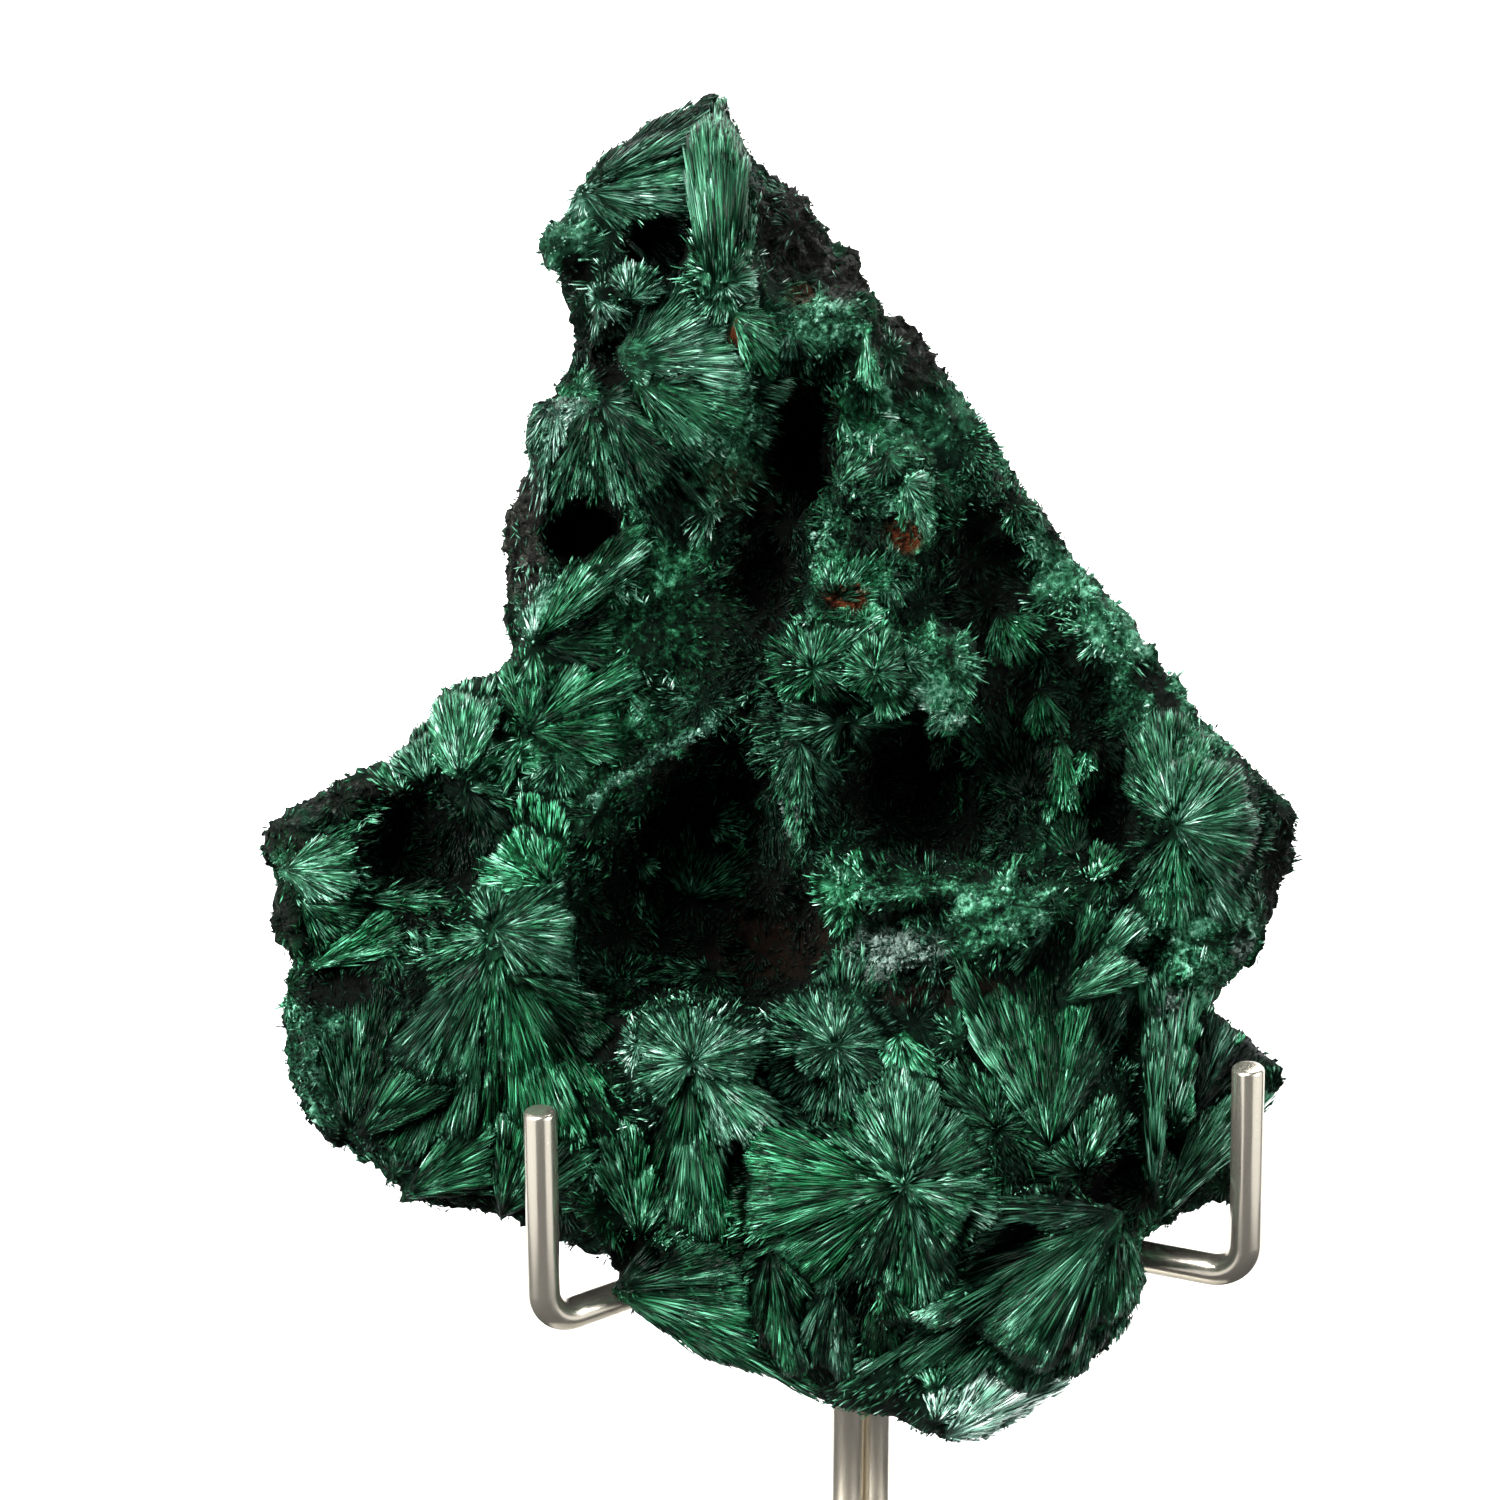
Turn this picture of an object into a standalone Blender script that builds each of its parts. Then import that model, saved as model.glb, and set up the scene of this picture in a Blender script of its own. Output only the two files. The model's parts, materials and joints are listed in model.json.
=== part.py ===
# Fibrous malachite specimen resting on a small stand of bent steel wire
# Lengths are millimetres here and metres in the model. The front faces -Y and up is +Z.

import math

import bmesh
import bpy
from mathutils import Matrix, Vector, noise

MM = 0.001

# The stone's front face is drawn as the camera sees it, square on
PICTURE_MIDDLE = 750.0      # picture units, across and down
PICTURE_PER_MM = 13.5       # picture units for one millimetre in the stone's middle plane
VIEW_DISTANCE = 300.0       # eye to the stone's middle plane
STONE_LEAN = 21.0           # degrees that the top leans back
STONE_CENTRE = (-8.7, 3.3, 90.5)
STONE_BACK = -18.0          # depth of the broken back face
STONE_RIM = -5.0            # depth at which front and back meet along the edge
RIM_ROUNDING = 6.0
BLOCK_BACK = -4.0           # the lower block hangs in front of the arms
BLOCK_RIM = 2.0
BACK_LOBE_BACK = -13.0
BACK_LOBE_RIM = -4.5
RIM_WALL = 1.6
SLAB_CELL = 1.3
DEPTH_BLEND = 3.2           # how sharply the depths of the front face take over from each other
CELL = 0.8
STONE_TRIANGLES = 7600
TOUCH_GAP = 0.3
MERGE = 0.00002

# The broken surface
COARSE_KNOBS = 0.75
COARSE_PITCH = 0.14
FINE_KNOBS = 0.45
FINE_PITCH = 0.42
FINE_OFFSET = (7, 3, 1)

FAN_ROOT = 0.9
FAN_SIDES = 11
WALL_DEPTH = 4.5
WALL_SETBACK = 4.0

WIRE_DIAMETER = 2.4
POST_GAP = 0.2
POST_TURN = 32.0            # the left wire of the post stands nearer the front
BEND_RADIUS = 2.6
ARM_HEIGHT = 54.0
LEFT_PRONG = (-23.6, -17.5)
RIGHT_PRONG = (28.0, -10.3)
RIGHT_PRONG_LEAN = 0.5      # its tip leans in
PRONG_LENGTH = 17.1
REAR_ARM_END = (-3.0, 11.5)
REAR_ARM_HEIGHT = 50.0
REAR_REST_LENGTH = 36.0
REAR_POST_SETBACK = 0.6     # in wire diameters behind the other two

# Wedge of space kept free behind the prongs, under the stone
REST_REACH = 1.9
REST_FRONT = -2.2
REST_SIDE = 90.0
REST_REAR = 60.0
REST_DEPTH = 40.0

BASE_DIAMETER = 64.0
BASE_THICKNESS = 6.0
BASE_ROUNDING = 1.2

# Edge of the stone from its peak down the right side to the arms of the stand
RIGHT_EDGE = [
    (712, 90), (735, 112), (752, 165), (800, 195), (818, 232), (868, 290), (918, 345), (960, 405),
    (1000, 448), (1030, 500), (1085, 560), (1140, 640), (1190, 705), (1262, 780), (1302, 832),
    (1297, 860), (1278, 915), (1243, 975), (1205, 1012), (1170, 1060), (1150, 1180)]
LEFT_EDGE = [
    (583, 1248), (498, 1230), (436, 1218), (352, 1158), (316, 1127), (303, 1085), (288, 1050),
    (284, 1005), (308, 968), (280, 940), (262, 880), (266, 824), (330, 787), (380, 770), (410, 745),
    (430, 710), (455, 680), (480, 680), (497, 697), (525, 632), (506, 600), (508, 505), (530, 470),
    (526, 435), (560, 390), (572, 350), (576, 300), (540, 240), (568, 215), (584, 184), (660, 124)]
CORE_EDGE = RIGHT_EDGE + [(1060, 1215), (860, 1190), (680, 1245), (612, 1268)] + LEFT_EDGE
BLOCK_EDGE = [
    (600, 1010), (700, 985), (850, 965), (1100, 960), (1168, 1010), (1160, 1120), (1150, 1235),
    (1140, 1290), (1115, 1340), (1085, 1370), (1040, 1400), (1000, 1425), (965, 1442), (930, 1440),
    (905, 1412), (836, 1414), (756, 1374), (696, 1356), (643, 1328), (612, 1292), (594, 1240),
    (590, 1150)]
BACK_LOBE_EDGE = [
    (1120, 1035), (1238, 1022), (1256, 1043), (1259, 1058), (1248, 1085), (1230, 1145),
    (1218, 1195), (1186, 1236), (1150, 1241), (1110, 1200)]

# Depth of the front face toward the eye: across, down, depth in mm
FRONT_DEPTHS = {
    "peak": (712, 130, 0), "top_left": (600, 200, 1), "top_column": (725, 220, 4),
    "top_right": (810, 240, -6), "brow": (650, 300, 3), "upper_fan": (700, 370, 7),
    "right_brow": (840, 340, 2), "right_brow_edge": (910, 380, -4), "lobe": (550, 440, 1),
    "lower_fan": (630, 450, 5), "left_rim": (525, 560, -2), "slope_top": (610, 570, 4),
    "slope": (680, 620, 1), "slope_foot": (680, 740, 0), "upper_hollow": (800, 450, -4),
    "hollow_foot": (780, 570, -4), "ridge_top": (880, 500, 4), "ridge": (880, 590, 5),
    "ridge_right": (960, 600, -3), "right_slope": (1000, 550, -6), "right_slope_low": (1090, 690, -5),
    "groove": (1040, 760, -6), "centre_lump": (870, 670, 8), "left_shoulder": (470, 740, 4),
    "left_mid": (540, 720, 4), "left_wall": (520, 820, 3), "wing_tip": (290, 900, 1),
    "wing_top": (350, 800, 0), "left_hollow": (415, 850, -1), "hub": (500, 930, 10),
    "septum": (620, 800, 3), "cavity": (710, 860, -2), "right_cavity": (920, 800, -1),
    "wing_low": (330, 1060, 1), "wing": (420, 1070, 6), "wing_foot": (450, 1180, 3),
    "wing_right": (540, 1120, 6), "ledge": (950, 900, 11), "ledge_right": (1080, 900, 7),
    "dome": (1200, 810, 2), "dome_low": (1190, 920, 2), "far_right": (1280, 850, -4),
    "block_top": (760, 1020, 13), "block_left": (620, 1080, 9), "block": (880, 1120, 15),
    "block_right": (1060, 1080, 12), "crest": (1150, 1080, 8), "block_low": (880, 1300, 12),
    "block_low_left": (700, 1280, 8), "block_low_right": (1080, 1290, 9), "tip": (970, 1410, 7),
    "back_lobe": (1220, 1120, -3), "right_strip": (1060, 510, -1)}

# Rounded growths: across, down, depth of the middle, then half width, half height, half depth, turn
LUMPS = {
    "peak_cap": (712, 108, -1, 1.3, 1.8, 3.0, 0), "knob": (560, 244, -1, 1.9, 2.3, 4.0, 10),
    "top_column": (722, 205, 1, 2.4, 6.6, 4.6, 4), "top_rosette": (724, 280, 3, 3.4, 2.7, 4.4, 0),
    "little_rosette": (625, 292, 2, 2.9, 2.5, 4.2, 0), "matrix_a": (790, 222, -6, 2.6, 3.2, 4.6, 30),
    "matrix_b": (832, 272, -7, 2.8, 2.2, 4.6, 30), "right_lump": (815, 330, 0, 2.9, 3.2, 5.0, 0),
    "right_lump_b": (856, 318, -1, 1.7, 2.8, 4.6, 12), "matrix_c": (905, 350, -8, 2.4, 3.2, 4.0, 35),
    "round_fan": (702, 366, 1, 4.9, 4.3, 7.6, -5), "lower_fan": (628, 447, 0, 3.9, 3.6, 6.2, -20),
    "left_lobe": (545, 446, -2, 1.8, 3.6, 4.6, 8), "rim_a": (524, 520, -4, 1.3, 2.8, 3.4, 0),
    "rim_b": (520, 590, -4, 1.2, 3.2, 3.2, 0), "side_rosette": (545, 620, 0, 2.4, 3.2, 4.4, 25),
    "hook_a": (850, 492, 2, 1.9, 2.1, 4.6, 0), "hook_b": (898, 480, 1, 2.5, 2.6, 4.6, -30),
    "hook_c": (925, 535, 1, 1.3, 2.6, 4.6, 15), "hook_d": (845, 575, 2, 2.6, 2.0, 4.8, 0),
    "lump_a": (812, 664, 3, 4.2, 3.4, 6.4, -10), "lump_b": (880, 668, 4, 3.4, 3.4, 6.6, 0),
    "lump_c": (948, 668, 2, 2.0, 4.2, 6.0, 8), "lump_d": (905, 715, 3, 3.6, 1.9, 5.6, -12),
    "edge_a": (958, 432, -5, 2.2, 3.0, 4.6, 40), "edge_b": (1020, 522, -4, 1.9, 4.6, 4.8, 40),
    "edge_c": (1100, 624, -4, 1.9, 4.8, 4.8, 38), "edge_d": (1170, 715, -3, 2.0, 3.8, 4.6, 42),
    "groove_rib": (1062, 770, -3, 1.6, 5.0, 5.4, 10), "dome": (1203, 812, -2, 4.7, 5.9, 7.6, 10),
    "lens": (1279, 830, -5, 1.3, 2.2, 3.0, 0), "right_a": (1230, 915, -4, 3.0, 3.0, 5.4, 20),
    "right_b": (1150, 915, 1, 3.4, 2.6, 6.0, 0), "right_c": (1185, 965, -1, 3.2, 2.0, 5.6, 20),
    "ledge_a": (905, 896, 6, 5.6, 1.6, 7.0, 4), "ledge_b": (1005, 912, 6, 5.2, 1.9, 6.4, 12),
    "ledge_c": (945, 950, 5, 6.6, 1.4, 6.4, 5), "crust": (893, 962, 6, 2.8, 1.6, 5.4, -8),
    "wing_a": (284, 846, -1, 1.5, 1.6, 2.8, 0), "wing_b": (288, 915, -1, 1.8, 2.8, 3.6, 0),
    "wing_c": (312, 1040, -1, 1.8, 3.8, 3.8, 5), "shoulder": (362, 790, -2, 3.4, 1.8, 4.0, 20),
    "hub_lump": (533, 935, 5, 3.7, 4.4, 7.0, -10), "hub_left": (450, 960, 3, 2.8, 3.0, 6.0, 0),
    "rosette_a": (692, 1062, 7, 6.2, 5.4, 9.4, 0), "rosette_b": (838, 1048, 9, 4.4, 4.0, 7.2, 0),
    "pale_skirt": (735, 1105, 8, 2.8, 3.2, 7.6, -25), "big_star": (902, 1182, 6, 9.4, 8.6, 11.4, 0),
    "right_star": (1062, 1110, 5, 4.8, 5.6, 9.0, 0), "crest_a": (1152, 1060, 3, 1.0, 4.4, 5.6, 2),
    "crest_b": (1155, 1160, 2, 1.0, 4.6, 5.2, -2), "back_lobe": (1206, 1125, -7, 3.2, 7.0, 6.0, 18),
    "tip": (965, 1405, 4, 4.2, 2.0, 4.0, 15)}

# Conical sprays: across, down, depth of the apex, heading (0 right, 90 up), length,
# half opening, tilt toward the eye, flatness
FANS = {
    "top": (583, 192, 3.0, 8, 9.0, 24, -12, 0.7), "column": (724, 276, 6.5, 92, 11.0, 11, -18, 0.9),
    "round": (640, 368, 5.5, -6, 8.4, 32, 6, 0.7), "lower": (594, 408, 4.5, -38, 7.4, 34, -6, 0.7),
    "spray": (730, 316, 6.0, -42, 5.4, 16, -10, 0.8), "brow": (860, 300, 2.0, -84, 6.6, 12, 10, 0.8),
    "side_up": (536, 640, 4.0, 50, 6.6, 20, -12, 0.7), "side_down": (532, 734, 5.0, 98, 6.0, 22, -20, 0.7),
    "slope": (532, 736, 5.0, 15, 7.0, 20, -25, 0.6), "shoulder": (462, 772, 6.5, 88, 6.2, 23, -24, 0.7),
    "small": (404, 794, 3.0, 105, 3.6, 30, -20, 0.7), "star": (466, 790, 5.5, -80, 6.4, 22, -40, 0.7),
    "wing": (283, 872, 2.5, -6, 5.4, 33, 10, 0.7), "wing_mid": (304, 969, 0.5, 24, 7.0, 14, 6, 0.7),
    "bush": (505, 905, 8.0, 60, 5.6, 38, -26, 0.7), "hub_left": (494, 942, 12.5, -112, 12.6, 18, -30, 0.6),
    "hub_right": (496, 942, 12.5, -74, 11.8, 15, -28, 0.7),
    "corner": (362, 1136, 3.5, 42, 12.0, 20, 12, 0.6),
    "foot_left": (420, 1195, 2.0, 35, 9.0, 18, 14, 0.6),
    "rosette_foot": (690, 1065, 15.0, -86, 13.0, 15, -18, 0.6),
    "block_foot": (620, 1288, 7.5, 14, 11.4, 26, 16, 0.6),
    "star_left": (904, 1186, 16.5, 178, 11.6, 26, -14, 0.6),
    "star_up": (904, 1184, 16.5, 96, 8.4, 24, -8, 0.6),
    "star_down": (904, 1188, 16.5, -84, 10.6, 24, -16, 0.6),
    "star_left_down": (904, 1186, 16.5, -140, 11.0, 18, -18, 0.6),
    "dark_fan": (1116, 1212, 14.0, 176, 9.8, 16, 4, 0.7),
    "low_fan": (1116, 1214, 13.5, -128, 12.6, 20, -14, 0.6),
    "edge_fan": (1114, 1216, 12.5, -96, 8.0, 18, -20, 0.6),
    "upper_fan": (1066, 1006, 11.0, 34, 6.0, 20, 0, 0.7),
    "left_column": (800, 1280, 12.0, -100, 8.0, 14, -14, 0.7), "tip": (966, 1430, 5.0, 62, 7.4, 36, 4, 0.5),
    "groove": (1020, 700, -4.0, 80, 6.0, 26, 8, 0.7), "rib": (1080, 830, -2.0, 96, 8.0, 14, 6, 0.7),
    "blade_a": (1178, 1135, 2.0, 72, 9.6, 8, -6, 0.7), "blade_b": (1195, 1200, -3.0, 66, 12.0, 12, -4, 0.5)}

# Thin walls between hollows: two ends (across, down, depth) and half thickness
RIDGES = {
    "septum_a": ((752, 700, 2), (617, 792, 4), 1.1), "septum_b": ((617, 792, 4), (569, 848, 5), 1.3),
    "wall": ((790, 738, 5), (812, 848, 7), 1.4), "cavity_lip": ((833, 868, 9), (1068, 880, 6), 1.3),
    "upper_wall": ((836, 380, 1), (840, 470, 3), 1.3), "side_wall": ((612, 560, 5), (540, 640, 5), 1.2),
    "lip_low": ((600, 1030, 8), (690, 1005, 12), 1.5), "right_lip": ((1140, 730, 1), (1150, 880, 4), 1.2)}

# Hollows: across, down, depth of the middle, then half width, half height, half depth, turn
HOLLOWS = {
    "cavity": (705, 868, 7, 7.2, 10.4, 17.0, -28), "cavity_floor": (752, 940, 6, 5.8, 6.0, 14.5, 0),
    "cavity_left": (622, 925, 9, 4.8, 6.2, 13.0, 10), "right_cavity": (912, 797, 6, 6.6, 5.4, 14.0, 0),
    "right_deep": (985, 800, 5, 3.4, 5.4, 11.0, 0), "left": (416, 853, 5, 5.0, 3.5, 10.0, 0),
    "small_left": (586, 536, 3, 3.2, 2.9, 10.5, 0), "upper": (808, 452, 4, 2.7, 5.6, 12.5, 0),
    "upper_foot": (772, 565, 4, 2.4, 5.6, 9.5, 0), "valley": (700, 640, 9, 4.4, 8.0, 9.5, 0),
    "valley_foot": (665, 740, 9, 3.4, 3.4, 8.5, 0), "top_shadow": (662, 248, 5, 2.9, 2.8, 9.0, 20),
    "knob_hole": (576, 270, 3, 1.1, 1.3, 5.6, 0), "brow_shadow": (610, 350, 5, 2.3, 2.0, 7.5, 20),
    "groove_a": (985, 600, 4, 2.6, 6.4, 9.0, 28), "groove_b": (1045, 690, 4, 3.0, 5.6, 9.4, 25),
    "groove_c": (1110, 800, 4, 1.9, 5.2, 8.0, 5), "groove_d": (940, 440, 2, 1.5, 4.4, 6.5, 30),
    "groove_e": (1080, 610, 2, 1.6, 3.6, 5.4, 35), "groove_f": (1010, 820, 5, 2.2, 4.0, 9.0, 0),
    "side_pit": (545, 690, 6, 1.0, 2.4, 4.6, 0), "side_pit_b": (580, 800, 8, 1.0, 3.6, 5.6, 0),
    "hook_pit": (868, 535, 6, 2.1, 1.6, 5.4, 0), "rust_pit": (845, 597, 7, 1.7, 1.1, 4.4, 0),
    "hook_gap": (905, 590, 6, 1.3, 1.3, 4.6, 0), "block_gap": (1125, 1182, 12, 2.0, 2.7, 10.0, 0),
    "foot_gap": (640, 1255, 11, 3.2, 2.3, 8.0, -15), "foot_gap_b": (725, 1250, 16, 4.4, 1.7, 5.6, -10),
    "wing_shadow": (345, 985, 6, 4.4, 1.9, 6.4, 15), "hub_shadow": (588, 1030, 12, 3.6, 2.2, 7.4, -10),
    "hub_side": (405, 930, 8, 3.0, 1.9, 5.6, 20), "ledge_shadow": (965, 988, 14, 6.4, 1.2, 5.0, 4),
    "dark_groove": (1008, 1150, 16, 1.4, 4.0, 5.0, -10), "low_gap": (860, 1310, 16, 1.6, 3.4, 4.6, 10),
    "low_gap_b": (560, 1180, 9, 1.5, 4.4, 5.0, 5), "edge_pit_a": (1150, 677, 1, 1.5, 1.2, 4.0, 20),
    "edge_pit_b": (1170, 700, 1, 1.0, 0.9, 4.0, 0), "lobe_gap": (1166, 1120, -1, 0.9, 6.8, 7.0, 12),
    "right_gap": (1120, 960, 8, 2.0, 1.0, 5.0, 20), "dome_gap": (1145, 960, 4, 1.4, 1.4, 5.0, 0)}

# Broken back of the stone: across, down, depth, then half width, half height, half depth, turn
BACK_LUMPS = {
    "top": (690, 330, -12, 6.0, 9.0, 4.0, 15), "middle": (800, 560, -13, 10.0, 9.0, 6.4, 20),
    "left": (520, 880, -13, 11.0, 7.0, 5.4, 10), "right": (1050, 780, -13, 10.0, 8.0, 6.0, 30),
    "low": (720, 1050, -12, 11.0, 6.4, 5.4, 0), "low_right": (1040, 1060, -12, 8.0, 6.0, 5.0, -10)}

LOOKS = {
    "malachite": ((0.02, 0.09, 0.055), 0.55, 0.0),
    "steel": ((0.60, 0.57, 0.52), 0.28, 1.0),
    "plate": ((0.55, 0.53, 0.50), 0.32, 1.0)}


def clear_scene():
    for item in list(bpy.data.objects):
        bpy.data.objects.remove(item, do_unlink=True)


def make_collection(name):
    group = bpy.data.collections.new(name)
    bpy.context.scene.collection.children.link(group)
    return group


def make_material(name, look):
    colour, roughness, metallic = LOOKS[look]
    material = bpy.data.materials.new(name)
    material.use_nodes = True
    shader = material.node_tree.nodes["Principled BSDF"]
    shader.inputs["Base Color"].default_value = (*colour, 1.0)
    shader.inputs["Roughness"].default_value = roughness
    shader.inputs["Metallic"].default_value = metallic
    return material


def new_object(name, mesh, group):
    item = bpy.data.objects.new(name, mesh)
    group.objects.link(item)
    return item


def spot(across, down, depth):
    x = (across - PICTURE_MIDDLE) / PICTURE_PER_MM
    z = (PICTURE_MIDDLE - down) / PICTURE_PER_MM
    return Vector((x, -depth, z))


def bake(item):
    # Replaces an object by a plain mesh with its modifiers applied
    graph = bpy.context.evaluated_depsgraph_get()
    graph.update()
    mesh = bpy.data.meshes.new_from_object(item.evaluated_get(graph))
    mesh.transform(item.matrix_world)
    bm = bmesh.new()
    bm.from_mesh(mesh)
    bmesh.ops.remove_doubles(bm, verts=bm.verts, dist=MERGE)
    bm.to_mesh(mesh)
    bm.free()
    bpy.data.objects.remove(item, do_unlink=True)
    return mesh


def outline_distance(point, loop):
    nearest = 1e9
    for index, start in enumerate(loop):
        end = loop[(index + 1) % len(loop)]
        along = end - start
        share = max(0.0, min(1.0, (point - start).dot(along) / along.length_squared))
        nearest = min(nearest, (point - start - along * share).length)
    return nearest


def front_depth(x, z):
    # Soft blend of the depths read off the front face
    total = 0.0
    weight_sum = 0.0
    for across, down, depth in FRONT_DEPTHS.values():
        place = spot(across, down, 0)
        gap = math.hypot(x - place.x, z - place.z)
        weight = 1.0 / (gap + 1.0) ** DEPTH_BLEND
        total += weight * depth
        weight_sum += weight
    return total / weight_sum


def slab(name, edge, back, group, rim):
    # A pillow between the back and the front face, thinner toward its edge
    curve = bpy.data.curves.new(name, "CURVE")
    curve.dimensions = "2D"
    curve.fill_mode = "BOTH"
    curve.extrude = 0.5
    line = curve.splines.new("POLY")
    line.points.add(len(edge) - 1)
    for point, (across, down) in zip(line.points, edge):
        place = spot(across, down, 0)
        point.co = (place.x, place.z, 0, 1)
    line.use_cyclic_u = True
    item = new_object(name, curve, group)
    item.scale = (1, 1, 10)
    bpy.context.view_layer.update()
    solid = new_object(name, bake(item), group)
    remesh = solid.modifiers.new("Cells", "REMESH")
    remesh.mode = "VOXEL"
    remesh.voxel_size = SLAB_CELL
    mesh = bake(solid)
    loop = [Vector((spot(a, d, 0).x, spot(a, d, 0).z)) for a, d in edge]
    for vertex in mesh.vertices:
        x, z, share = vertex.co.x, vertex.co.y, (vertex.co.z + 5.0) / 10.0
        near = min(1.0, outline_distance(Vector((x, z)), loop) / RIM_ROUNDING)
        swell = math.sqrt(max(0.0, 1.0 - (1.0 - near) ** 2))
        front = rim + RIM_WALL + (front_depth(x, z) - rim - RIM_WALL) * swell
        rear = rim - RIM_WALL + (back - rim + RIM_WALL) * swell
        depth = rear + (front - rear) * share
        vertex.co = (x, -depth, z)
    return new_object(name, mesh, group)


def lump(name, values, group):
    across, down, depth, half_x, half_z, half_y, turn = values
    mesh = bpy.data.meshes.new(name)
    bm = bmesh.new()
    bmesh.ops.create_icosphere(bm, subdivisions=3, radius=1.0)
    turned = Matrix.Rotation(math.radians(-turn), 4, "Y")
    sized = Matrix.Diagonal((half_x, half_y, half_z, 1.0))
    bmesh.ops.transform(bm, matrix=Matrix.Translation(spot(across, down, depth)) @ turned @ sized,
                        verts=bm.verts)
    bm.to_mesh(mesh)
    bm.free()
    return new_object(name, mesh, group)


def fan(name, values, group):
    across, down, depth, heading, length, half_opening, tilt, flatness = values
    apex = spot(across, down, depth)
    heading = math.radians(heading)
    tilt = math.radians(tilt)
    flat = Vector((math.cos(heading), 0, math.sin(heading)))
    toward = (flat * math.cos(tilt) + Vector((0, -1, 0)) * math.sin(tilt)).normalized()
    side = Vector((0, -1, 0)).cross(toward).normalized()
    face = toward.cross(side).normalized()
    radius = length * math.tan(math.radians(half_opening))
    bm = bmesh.new()
    bmesh.ops.create_cone(bm, cap_ends=True, segments=FAN_SIDES, radius1=FAN_ROOT,
                          radius2=radius, depth=length)
    turn = Matrix((side, face * flatness, toward)).transposed().to_4x4()
    place = Matrix.Translation(apex + toward * length * 0.5 - face * FAN_ROOT)
    bmesh.ops.transform(bm, matrix=place @ turn, verts=bm.verts)
    bmesh.ops.recalc_face_normals(bm, faces=bm.faces)
    mesh = bpy.data.meshes.new(name)
    bm.to_mesh(mesh)
    bm.free()
    return new_object(name, mesh, group)


def ridge(name, start, end, half_thick, group):
    # A thin wall that runs back into the stone between its two ends
    first = spot(*start)
    last = spot(*end)
    along = last - first
    middle = (first + last) * 0.5
    bm = bmesh.new()
    bmesh.ops.create_icosphere(bm, subdivisions=3, radius=1.0)
    heading = math.atan2(along.z, along.x)
    sized = Matrix.Diagonal((along.length * 0.5 + half_thick, WALL_DEPTH, half_thick, 1.0))
    turned = Matrix.Rotation(-heading, 4, "Y")
    place = Matrix.Translation(middle + Vector((0, WALL_SETBACK, 0)))
    bmesh.ops.transform(bm, matrix=place @ turned @ sized, verts=bm.verts)
    mesh = bpy.data.meshes.new(name)
    bm.to_mesh(mesh)
    bm.free()
    return new_object(name, mesh, group)


def fuse(name, pieces, group, cell, soften):
    # One closed skin round all the pieces
    bm = bmesh.new()
    for piece in pieces:
        bm.from_mesh(piece.data)
    mesh = bpy.data.meshes.new(name)
    bm.to_mesh(mesh)
    bm.free()
    for piece in pieces:
        bpy.data.objects.remove(piece, do_unlink=True)
    item = new_object(name, mesh, group)
    remesh = item.modifiers.new("Fuse", "REMESH")
    remesh.mode = "VOXEL"
    remesh.voxel_size = cell
    if soften:
        smooth = item.modifiers.new("Soften", "SMOOTH")
        smooth.factor = 0.5
        smooth.iterations = soften
    return new_object(name, bake(item), group)


def keep_largest(mesh):
    bm = bmesh.new()
    bm.from_mesh(mesh)
    bm.faces.ensure_lookup_table()
    left = dict.fromkeys(bm.faces)
    bodies = []
    while left:
        body = [left.popitem()[0]]
        edge_of_growth = list(body)
        while edge_of_growth:
            face = edge_of_growth.pop()
            for edge in face.edges:
                for other in edge.link_faces:
                    if other in left:
                        del left[other]
                        body.append(other)
                        edge_of_growth.append(other)
        bodies.append(body)
    bodies.sort(key=len)
    loose = [face for body in bodies[:-1] for face in body]
    bmesh.ops.delete(bm, geom=loose, context="FACES")
    stray = [vertex for vertex in bm.verts if not vertex.link_faces]
    bmesh.ops.delete(bm, geom=stray, context="VERTS")
    bm.to_mesh(mesh)
    bm.free()


def subtract(item, cutter, group):
    cut = item.modifiers.new("Cut", "BOOLEAN")
    cut.operation = "DIFFERENCE"
    cut.solver = "EXACT"
    cut.object = cutter
    name = item.name
    return new_object(name, bake(item), group)


def roughen(mesh):
    # Small knobs and steps of the broken surface
    mesh.update()
    normals = [vertex.normal.copy() for vertex in mesh.vertices]
    for vertex, normal in zip(mesh.vertices, normals):
        coarse = noise.fractal(vertex.co * COARSE_PITCH, 0.8, 2.1, 3)
        fine = noise.fractal(vertex.co * FINE_PITCH + Vector(FINE_OFFSET), 0.7, 2.2, 3)
        vertex.co += normal * (COARSE_KNOBS * coarse + FINE_KNOBS * fine)


def seat_in_frame(mesh):
    # Sides draw in toward the eye, then the stone leans back on its stand
    for vertex in mesh.vertices:
        narrowing = 1.0 + vertex.co.y / VIEW_DISTANCE
        vertex.co.x *= narrowing
        vertex.co.z *= narrowing
    lean = Matrix.Rotation(math.radians(-STONE_LEAN), 4, "X")
    mesh.transform(Matrix.Scale(MM, 4) @ Matrix.Translation(STONE_CENTRE) @ lean)


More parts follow.
